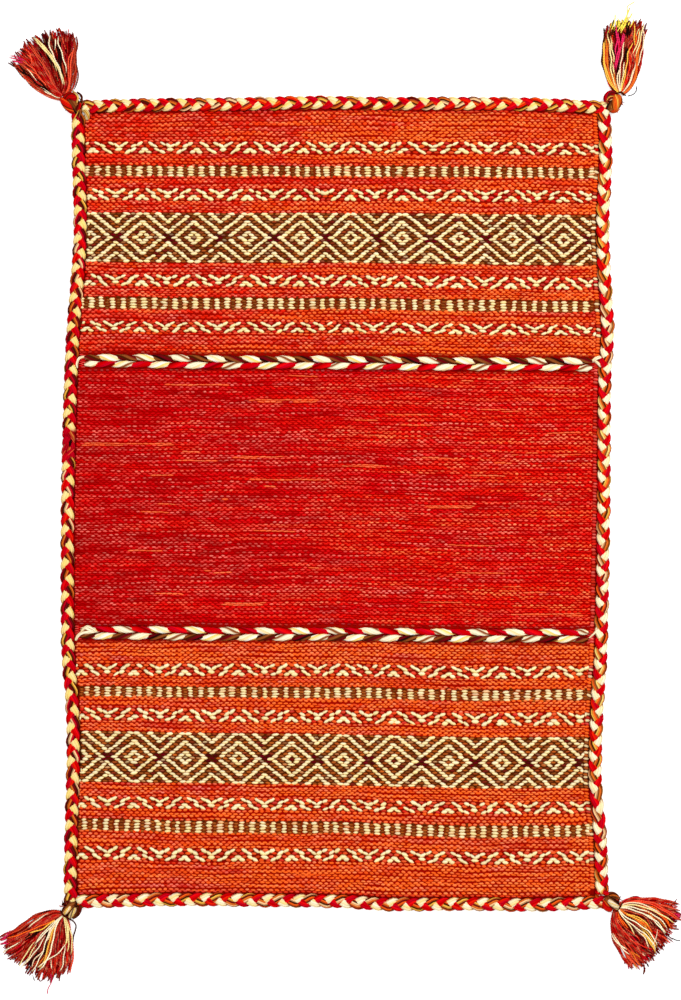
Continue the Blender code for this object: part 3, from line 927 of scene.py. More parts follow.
def selvedge(yarns):
    """The column of short stitches along the right edge of the weave, in the yarns of its bands."""
    for step in range(int((STITCHES_FROM - STITCHES_TO) / STITCH_PITCH)):
        y = STITCHES_FROM - (step + 0.5) * STITCH_PITCH
        weaves = [band.weave for i, band in enumerate(BANDS) if i == 0 or band_edge(i, 280.0) > y]
        name, pale = SELVEDGE_YARNS[weaves[-1]][step % 2]
        tint = INK["flame" if weaves[-1] == "orange" else "brown"]
        colour = mixed(INK[name], tint, draw.uniform(0, 0.35))
        tone = draw.uniform(0.85, 1.05)
        # Each stitch gets a painted highlight on its crown and painted shade at its rim.
        lay_bead(
            yarns,
            float(panel_right(y)) - 2.4 + draw.normal(0, 0.3),
            y + draw.normal(0, 0.3),
            3.4 * draw.uniform(0.85, 1.15),
            STITCH_PITCH * 0.56 * draw.uniform(0.85, 1.1),
            -0.12 + draw.normal(0, 0.1),
            BEAD_CROWN + 0.35,
            colour * tone,
            mixed(colour, INK[pale], draw.uniform(0, 1) ** 2 * 0.7) * tone,
            mixed(colour, INK["dark_red"], 0.6) * tone,
            0.1,
        )


CLOSING_BEADS = 12
CLOSING_PITCH = 1.25
CLOSING_RISE = 7.0  # of the first one above the middle of the twined rows


def close_end(yarns, twine, side):
    """Beads of red weft between the end of a pair of twined rows and the edge."""
    top = (twine.left if side > 0 else twine.right) + CLOSING_RISE
    for step in range(CLOSING_BEADS):
        y = top - CLOSING_PITCH * step
        x = float(panel_left(y) if side > 0 else panel_right(y)) + side * (2.4 + 3.2 * (step % 2))
        # Each bead gets a painted highlight and painted shade at its rim.
        colour = mixed(INK["red"], INK["deep_red"], draw.uniform(0, 1))
        gleam = mixed(colour, INK["pale_red"], draw.uniform(0, 0.6))
        rim = mixed(colour, INK["dark_red"], 0.6)
        lay_bead(yarns, x, y, 3.2, 0.9, 0.05, BEAD_CROWN, colour, gleam, rim, 0.1)


def build_weave():
    """The beads of weft, in one piece for each third of the rug."""
    twines = [i for i, band in enumerate(BANDS) if band.weave == "twined"]
    firsts, lasts = (0, *(i + 1 for i in twines)), (*twines, len(BANDS))
    pieces = []
    row = 0
    for name, first, last in zip(("upper", "middle", "lower"), firsts, lasts):
        yarns = Yarns()
        for i in range(first, last):
            if BANDS[i].weave == "check":
                check_band(yarns, i)
            else:
                weave_band(yarns, i, row)
            row += BANDS[i].rows
        if name == "middle":
            selvedge(yarns)
            for twine in TWINED_ROWS:
                close_end(yarns, twine, 1)
                close_end(yarns, twine, -1)
        pieces.append(yarns.piece("weave_" + name, weave_yarn, "woven_cloth"))
    return pieces


# ---------------------------------------------------------------- strands of yarn

ROUTE_STEP = 1.2  # between two places on a short route
END_CAP = 0.3  # how far the closed end of a bundle stands out
LEAST_HEIGHT = 0.05  # of any point above the floor


def sweep(
    yarns, path, half_wide, half_high, inks,
    groove=0.86, twist=0.0, sink=1.0, tip=None, line=0.14, flank=0.3,
):  # fmt: skip
    """A flat bundle of parallel yarns along a path, closed at both ends, with a yarn for each ink.

    twist is how far the yarns turn round the bundle, in radians a millimetre. sink is the light that
    gets to each point of the path, line what gets between two yarns, and flank what gets to the
    bundle's sides, all from 0 to 1; all three are painted into the colour as shade through each
    vertex's depth. tip is a colour and the share of it at each point.
    """
    path = np.asarray(path, float)
    count, sides = len(path), 2 * len(inks)
    ahead = np.gradient(path, axis=0)
    step = np.linalg.norm(ahead, axis=1)
    ahead /= step[:, None]
    side = np.cross(ahead, [0.0, 0.0, 1.0])
    side /= np.linalg.norm(side, axis=1)[:, None]
    up = np.cross(side, ahead)
    turned = twist * np.cumsum(step)
    angle = turned[:, None] + np.arange(sides)[None, :] / sides * 2 * math.pi
    crest = np.arange(sides) % 2 == 0
    swell = np.where(crest, 1.0, groove)[None, :]
    wide = np.broadcast_to(half_wide, count)[:, None] * np.cos(angle) * swell
    high = np.broadcast_to(half_high, count)[:, None] * np.sin(angle) * swell
    rings = path[:, None, :] + side[:, None, :] * wide[:, :, None] + up[:, None, :] * high[:, :, None]
    ends = [path[0] - ahead[0] * END_CAP, path[-1] + ahead[-1] * END_CAP]
    points = np.concatenate([rings.reshape(-1, 3), ends])
    points[:, 2] = np.maximum(points[:, 2], LEAST_HEIGHT)
    j = np.arange(sides)
    k = (j + 1) % sides
    start = (np.arange(count - 1) * sides)[:, None]
    last, first_cap = (count - 1) * sides, np.full(sides, count * sides)
    faces = [
        np.stack([start + j, start + k, start + sides + k], axis=2).reshape(-1, 3),
        np.stack([start + j, start + sides + k, start + sides + j], axis=2).reshape(-1, 3),
        np.stack([first_cap, k, j], axis=1),
        np.stack([first_cap + 1, last + j, last + k], axis=1),
    ]
    round_inks = np.repeat(np.asarray(inks), 2, axis=0)
    colours = np.tile(round_inks, (count, 1, 1))
    if tip is not None:
        colours = mixed(colours, tip[0], tip[1][:, None])
    # Painted shade: the top of the bundle keeps its colour, its sides and the lines between its yarns
    # get darker, and all of it darker where sink is low.
    over = np.clip(flank + 1.2 * np.sin(angle), 0, 1)
    depths = over * np.where(crest, 1.0, line)[None, :] * np.broadcast_to(sink, count)[:, None]
    yarns.add(
        points,
        np.concatenate(faces),
        np.concatenate([colours.reshape(-1, 3), colours[0, :1], colours[-1, :1]]),
        np.concatenate([depths.ravel(), depths[0, :1], depths[-1, :1]]),
    )


def smooth_route(points, step=ROUTE_STEP):
    """A smooth curve through points, with a place on it about every step."""
    points = np.asarray(points, float)
    ends = [2 * points[0] - points[1], 2 * points[-1] - points[-2]]
    knots = np.concatenate([ends[:1], points, ends[1:]])
    route = []
    for before, start, end, after in zip(knots, knots[1:], knots[2:], knots[3:]):
        count = max(2, round(np.linalg.norm(end - start) / step))
        t = np.linspace(0, 1, count, endpoint=False)[:, None]
        route.append(smooth(t, start, (end - before) / 2, end, (after - start) / 2))
    return np.concatenate([*route, points[-1:]])


# ---------------------------------------------------------------- the twined rows

TWINE_PERIOD = 39.5
TWINE_ROW = 7.3  # height in plan of one of the two rows
TWINE_LIFT = 3.9
TWINE_SWAY = 0.9
TWINE_RISE = 1.9
TWINE_TURN = 0.11  # radians a millimetre that the plies turn round a strand
TWINE_SHORT = 6.8  # how far from the edges of the panel the rows stop
TWINE_STEP = 1.5
TWINE_TAPER = 6.0  # the length in which they thin at their ends
TWINE_HIGH = 2.3  # half the height of a lobe at its middle

# Half the width of a lobe at its middle, and how fast it thins from there.
Ply = namedtuple("Ply", "half_wide thins")
CREAM_PLY, DARK_PLY = Ply(4.1, 1.1), Ply(3.6, 0.6)

# A pair of rows: its middle at the left and right edges of the panel. For its upper and its lower
# row: where the middle of a cream lobe stands, and the yarn that it is twined with. Then the loops
# of cream yarn at its ends: half their width, and their routes.
TwinedRow = namedtuple("TwinedRow", "name left right upper_at upper_with lower_at lower_with loops")
TWINED_ROWS = (
    TwinedRow(
        "twined_upper", 154.3, 149.9, -257.4, "brown", -239.4, "red",
        (
            (1.7, ((-284.0, 159.0, 4), (-289.7, 157.0, 6), (-292.3, 151.5, 6), (-292.0, 146.5, 4))),
            (2.3, ((278.5, 153.5, 4), (283.5, 157.0, 6), (289.0, 158.5, 5))),
            (1.8, ((282.0, 154.5, 4), (285.5, 151.5, 6), (289.5, 147.0, 4))),
        ),
    ),
    TwinedRow(
        "twined_lower", -147.1, -151.0, -241.4, "red", -261.4, "brown",
        (
            (1.8, ((-288.0, -146.5, 5), (-281.5, -140.5, 7), (-276.0, -142.0, 7), (-271.5, -145.5, 5))),
            (
                2.1,
                (
                    (-294.0, -155.5, 4), (-291.0, -150.5, 6), (-286.5, -147.5, 7), (-280.0, -146.5, 7),
                    (-271.5, -146.0, 5),
                ),
            ),
            (1.2, ((275.5, -153.0, 4), (280.5, -148.5, 6), (285.0, -144.0, 6), (288.5, -148.5, 4))),
        ),
    ),
)  # fmt: skip


TWINED_YARNS = {
    "cream": ("pale_cream", "pale_cream", "brown", "pale_cream", "straw", "ivory", "cream"),
    "brown": ("dark_brown", "brown", "wine", "dark_brown", "brown", "black", "wine"),
    "red": ("deep_red", "crimson", "red", "deep_red", "dark_red", "crimson", "deep_red"),
}


def build_twined(row):
    """Two rows of twining, side by side and turned opposite ways. Each shows a lobe of either yarn."""
    yarns = Yarns()
    left, right = float(panel_left(row.left)), float(panel_right(row.right))
    x = np.arange(left + TWINE_SHORT, right - TWINE_SHORT, TWINE_STEP)
    ends = held(np.minimum(x - x[0], x[-1] - x) / TWINE_TAPER)
    middle = np.interp(x, (left, right), (row.left, row.right))
    for half, at, other in ((1, row.upper_at, row.upper_with), (-1, row.lower_at, row.lower_with)):
        drift = 1.2 * np.sin(x / 71.0 + half)
        wave = 0.35 * np.sin(x / 37.0 + half)
        for turn, name, ply in ((0.0, "cream", CREAM_PLY), (math.pi, other, DARK_PLY)):
            angle = (x - at + drift) / TWINE_PERIOD * 2 * math.pi + turn
            y = middle + half * (TWINE_ROW / 2 + wave) - half * np.sin(angle) * TWINE_SWAY
            z = TWINE_LIFT + np.cos(angle) * TWINE_RISE
            swell = 0.4 + 0.6 * ((1 + np.cos(angle)) / 2) ** ply.thins
            swell = swell * (0.4 + 0.6 * ends)
            # Painted shade where a ply dives under the other, and in the lines between its yarns.
            sweep(
                yarns,
                np.stack([x, y, z], axis=1),
                ply.half_wide * swell,
                TWINE_HIGH * swell,
                [INK[yarn] for yarn in TWINED_YARNS[name]],
                sink=np.clip(0.9 + 0.9 * np.cos(angle), 0.05, 1),
                twist=-half * TWINE_TURN,
                line=0.3,
            )
    for half_wide, route in row.loops:
        path = smooth_route(route)
        swell = 0.6 + 0.4 * np.sqrt(1 - np.linspace(-1, 1, len(path)) ** 2)
        inks = [INK[yarn] for yarn in ("pale_cream", "cream", "brown", "pale_cream")]
        sweep(yarns, path, half_wide * swell, 1.6 * swell, inks, twist=0.1, line=0.2)
    return yarns.piece(row.name, plait_yarn, "woven_cloth")


# ---------------------------------------------------------------- the plaited border

PLAIT_SWAY = 3.5  # how far a strand's middle goes to either side
PLAIT_RISE = 1.9  # and up and down
PLAIT_MIDDLE = 4.4  # height of the plait's middle
PLAIT_STEP = 2.4
PLAIT_TWIST = 0.02
PLAIT_BULGE = 0.12  # of the sway, by which a strand swings out flatter than a sine
LOBE_TURN = 3 / 8  # of a turn, where a strand is farthest in and on top

# A plait: its edge, where it starts and ends in its own direction, the side that is inwards, and
# where its cream strand shows on the inner side, counted in turns: (place, turns).
Plait = namedtuple("Plait", "name edge upright start end inward lobes")
PLAITS = (
    Plait(
        "braid_left", LEFT_EDGE, True, -446.0, 430.0, 1,
        (
            (-411.5, 0), (-307, 3), (-195, 6), (-87.4, 9), (23.6, 12), (81.4, 14), (176.8, 17),
            (274.5, 20), (402.2, 24),
        ),
    ),
    Plait(
        "braid_right", RIGHT_EDGE, True, 432.0, -439.0, -1,
        (
            (377.4, 0), (272, 3), (195.4, 5), (128.8, 7), (24.4, 10), (-79.9, 13), (-183.2, 16),
            (-285.3, 19), (-318.6, 20), (-366.3, 21), (-396.3, 22), (-429.6, 23),
        ),
    ),
    Plait(
        "braid_top", TOP_EDGE, False, -286.0, 296.0, -1,
        ((-252, 0), (-159.3, 3), (-58, 6), (42.5, 9), (145, 12), (248, 15), (279, 16)),
    ),
    Plait(
        "braid_bottom", BOTTOM_EDGE, False, 294.0, -294.0, 1,
        ((261.4, 0), (156, 3), (55.6, 6), (-47.2, 9), (-150.9, 12), (-254.3, 15)),
    ),
)  # fmt: skip

# A strand of a plait: its share of a turn behind the cream one, half its width and its height, how
# bright the painted shade of the lines between its yarns is, and the yarns round it.
Strand = namedtuple("Strand", "behind half_wide half_high line yarns")
STRANDS = (
    Strand(
        0.0, 4.2, 2.6, 0.3,
        ("pale_cream", "cream", "pale_cream", "straw", "cream", "pale_cream", "cream", "straw"),
    ),
    Strand(
        1 / 3, 4.4, 2.6, 0.2,
        ("red", "crimson", "deep_red", "crimson", "red", "deep_red", "flame", "crimson", "deep_red"),
    ),
    Strand(2 / 3, 4.8, 2.8, 0.1, ()),
)  # fmt: skip
# The cream of each plait isn't alike, and neither are the fine yarns of its third strand.
Mixture = namedtuple("Mixture", "tint share third")
PLAIT_YARNS = {
    "braid_left": Mixture("straw", 0.7, (
        "wine", "crimson", "dark_brown", "gold", "dark_brown", "wine", "crimson", "peach",
        "dark_brown", "wine", "amber", "dark_brown",
    )),
    "braid_right": Mixture("pale_cream", 0.5, (
        "amber", "dark_brown", "orange", "wine", "peach", "brown", "amber", "dark_brown",
        "gold", "orange", "brown", "straw",
    )),
    "braid_top": Mixture("straw", 0.4, (
        "dark_brown", "amber", "wine", "gold", "dark_brown", "flame", "orange", "wine",
        "peach", "dark_brown", "amber", "wine",
    )),
    "braid_bottom": Mixture("pale_cream", 0.2, (
        "orange", "dark_brown", "peach", "amber", "wine", "orange", "dark_brown", "gold",
        "wine", "amber", "peach", "dark_brown",
    )),
}  # fmt: skip


# Where on the left plait a new strand is worked in and no cream shows, and the ends left there.
SPLICE = (43.0, 47.0, 77.0, 80.0)
SPLICE_ENDS = (
    ("black", 1.6, ((-298.5, 66.0, 6.5), (-299.5, 63.0, 8.6), (-300.0, 59.5, 6.5))),
    ("coral", 0.6, ((-302.0, 58.5, 6.0), (-305.5, 53.5, 8.0), (-308.5, 48.0, 6.0))),
    ("coral", 0.6, ((-295.5, 56.0, 6.5), (-299.5, 52.0, 8.5), (-303.5, 48.0, 6.5))),
    ("coral", 0.5, ((-299.5, 70.5, 7.0), (-297.0, 67.0, 8.8), (-295.0, 63.5, 7.0))),
)


def plait_turns(plait, place):
    """Turns of the plait at places along it. Past its last lobes, it turns on at the same pitch."""
    places, turns = zip(*sorted(plait.lobes))
    turn = np.interp(place, places, turns)
    for end, near, past in ((0, 1, place < places[0]), (-1, -2, place > places[-1])):
        pitch = (turns[end] - turns[near]) / (places[end] - places[near])
        turn = np.where(past, turns[end] + (place - places[end]) * pitch, turn)
    return turn


def build_plait(plait):
    """Three strands that swing in and out and pass over one another, a third of a turn apart."""
    yarns = Yarns()
    spliced = plait.name == "braid_left"
    mixture = PLAIT_YARNS[plait.name]
    travel = 1 if plait.end > plait.start else -1
    place = np.arange(plait.start, plait.end, travel * PLAIT_STEP)
    turn = plait_turns(plait, place)
    outer = along_table(plait.edge, place)
    for strand in STRANDS:
        is_cream = strand.behind == 0.0
        angle = 2 * math.pi * (turn - strand.behind + LOBE_TURN)
        swing = (np.sin(angle) - PLAIT_BULGE * np.sin(3 * angle)) / (1 + PLAIT_BULGE)
        out = outer + plait.inward * (BRAID_WIDTH / 2 + PLAIT_SWAY * swing)
        height = PLAIT_MIDDLE - PLAIT_RISE * np.sin(2 * angle)
        columns = [out, place, height] if plait.upright else [place, out, height]
        inks = [INK[name] * draw.uniform(0.9, 1.0) for name in strand.yarns or mixture.third]
        if is_cream:
            inks = [mixed(ink, INK[mixture.tint], mixture.share) for ink in inks]
        # Painted shade where a strand dives under the others.
        sink = np.clip(0.75 + 0.6 * (height - PLAIT_MIDDLE) / PLAIT_RISE, 0.12, 1)
        shown = 1.0 if is_cream else 0.7
        splice = INK["crimson"] * 0.8, np.interp(place, SPLICE, (0.0, shown, shown, 0.0))
        sweep(
            yarns,
            np.stack(columns, axis=1),
            strand.half_wide,
            strand.half_high,
            inks,
            groove=0.92,
            sink=sink,
            tip=splice if spliced else None,
            line=strand.line,
            twist=PLAIT_TWIST,
        )
    for name, half, route in SPLICE_ENDS if spliced else ():
        sweep(yarns, smooth_route(route), half, half, yarn_inks(name, 1.0))
    piece = yarns.piece(plait.name.replace("braid", "plait"), plait_yarn, "plaited_yarn")
    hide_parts(plait.name)
    return piece


# ---------------------------------------------------------------- the corner tassels

# A tassel: the middle of its knot, half the knot's length and width and the way it lies in degrees,
# and the neck that its yarn ends leave.
Tassel = namedtuple("Tassel", "name x y long wide turn neck_x neck_y")
TASSELS = (
    Tassel("tassel_top_left", -295.8, 438.5, 14.3, 8.0, 126, -308.0, 446.4),
    Tassel("tassel_top_right", 303.0, 440.0, 11.5, 9.5, 55, 309.7, 450.1),
    Tassel("tassel_bottom_left", -300.5, -453.0, 10.0, 7.5, 223, -306.4, -460.0),
    Tassel("tassel_bottom_right", 300.6, -445.3, 9.0, 8.6, 320, 308.0, -451.2),
)

# A lobe of the knot: its yarns, half its width and height, and its route about the knot's middle.
Lobe = namedtuple("Lobe", "yarns half_wide half_high route")
LOBES = {
    "tassel_top_left": (
        Lobe(("wine", "dark_brown", "deep_red"), 3.6, 3.4, ((-1, -9, 5), (5, -4, 9), (9, 3, 6))),
        Lobe(("gold", "brown"), 0.9, 0.9, ((-2, -20, 6), (3, -13, 9.5), (6, -7, 11))),
        Lobe(("brown", "amber"), 0.9, 0.9, ((4, -20, 6), (7, -12, 9), (9, -5, 8))),
        Lobe(
            ("flame", "red", "orange", "flame", "red"), 4.4, 4.0,
            ((-13, 7, 6), (-7, -2, 10), (0, -9, 7)),
        ),
        Lobe(
            ("deep_red", "crimson", "deep_red", "red"), 4.2, 3.8, ((-11, 7, 7), (-3, 9, 11), (5, 4, 9)),
        ),
        Lobe(("straw", "cream", "gold"), 1.5, 1.4, ((-1, 15, 7), (5, 8, 12.5), (4, 1, 12))),
        Lobe(("dark_brown", "brown", "dark_brown"), 1.5, 1.6, ((4, 14, 5), (9, 8, 8.5), (8, 1, 9))),
        Lobe(("gold", "straw", "pale_cream"), 3.4, 2.6, ((11, -3, 5), (14.5, -10, 7.5), (15, -17, 5))),
    ),
    "tassel_top_right": (
        Lobe(
            ("wine", "crimson", "gold", "dark_red", "peach"), 3.6, 3.2,
            ((-9, 2, 5), (-4, 5, 9), (1, 4, 8)),
        ),
        Lobe(("deep_red", "amber", "cream"), 3.0, 2.8, ((-7, -9, 4), (-5, -4, 7), (-2, 1, 7))),
        Lobe(
            ("crimson", "deep_red", "wine", "magenta"), 3.0, 3.0,
            ((-8, -1, 5), (-9, 6, 8), (-4, 11, 9), (2, 9, 8)),
        ),
        Lobe(
            ("orange", "gold", "orange", "amber", "orange"), 5.4, 4.6,
            ((4, 9, 8), (2.5, 1, 10.5), (-1, -8, 7)),
        ),
        Lobe(("orange", "red", "amber"), 2.6, 2.8, ((-5, -8, 5), (0, -9, 7), (5, -7, 5))),
        Lobe(("dark_brown", "black"), 1.4, 1.4, ((1, 9, 9), (7, 11, 13), (13, 8, 7))),
    ),
    "tassel_bottom_left": (
        Lobe(("brown", "dark_brown", "wine", "brown"), 3.6, 3.2, ((12, 4, 5), (9, -4, 8), (3, -10, 5))),
        Lobe(("wine", "dark_brown", "black"), 2.1, 2.2, ((-8, 4, 4), (-3, 7, 7.5), (4, 9, 5))),
        Lobe(("dark_brown", "brown", "wine"), 4.0, 3.2, ((6, 4, 6), (0, 0, 9), (-6, -8, 6))),
        Lobe(("straw", "pale_cream", "gold"), 2.5, 2.4, ((2, 3, 9), (-2, -1.5, 12), (-5.5, -5.5, 9))),
        Lobe(("pale_cream", "straw", "cream"), 2.7, 2.5, ((7, 1, 8.5), (4, -4, 12), (0, -10, 8))),
        Lobe(
            ("dark_brown", "black"), 1.1, 1.1,
            ((-10, -2, 4), (-7, -6.5, 10.5), (-1, -10, 10), (2, -12, 4)),
        ),
    ),
    "tassel_bottom_right": (
        Lobe(
            ("brown", "amber", "dark_brown", "wine", "brown", "dark_brown"), 3.6, 3.4,
            ((-5, 8, 5), (2, 7.5, 9), (8, 2, 6)),
        ),
        Lobe(
            ("red", "deep_red", "orange", "red", "flame"), 4.2, 3.8,
            ((-8, 2, 6), (-6, -5, 9.5), (0, -9, 6)),
        ),
        Lobe(
            ("pale_cream", "straw", "ivory", "cream"), 3.2, 3.0,
            ((-4, 2, 10), (2, -3, 12.5), (8, -7, 9)),
        ),
        Lobe(("orange", "amber", "flame"), 2.6, 2.2, ((-17, 8, 4), (-15, 4, 6), (-12, 0, 4))),
        Lobe(("red", "crimson", "deep_red"), 3.0, 2.6, ((-12, 13, 5), (-7, 10, 8), (-1, 7, 6))),
        Lobe(("dark_brown", "black"), 1.1, 1.1, ((12, -1, 6), (9, -5, 11.5), (6, -9, 9), (3, -12, 4))),
    ),
}  # fmt: skip

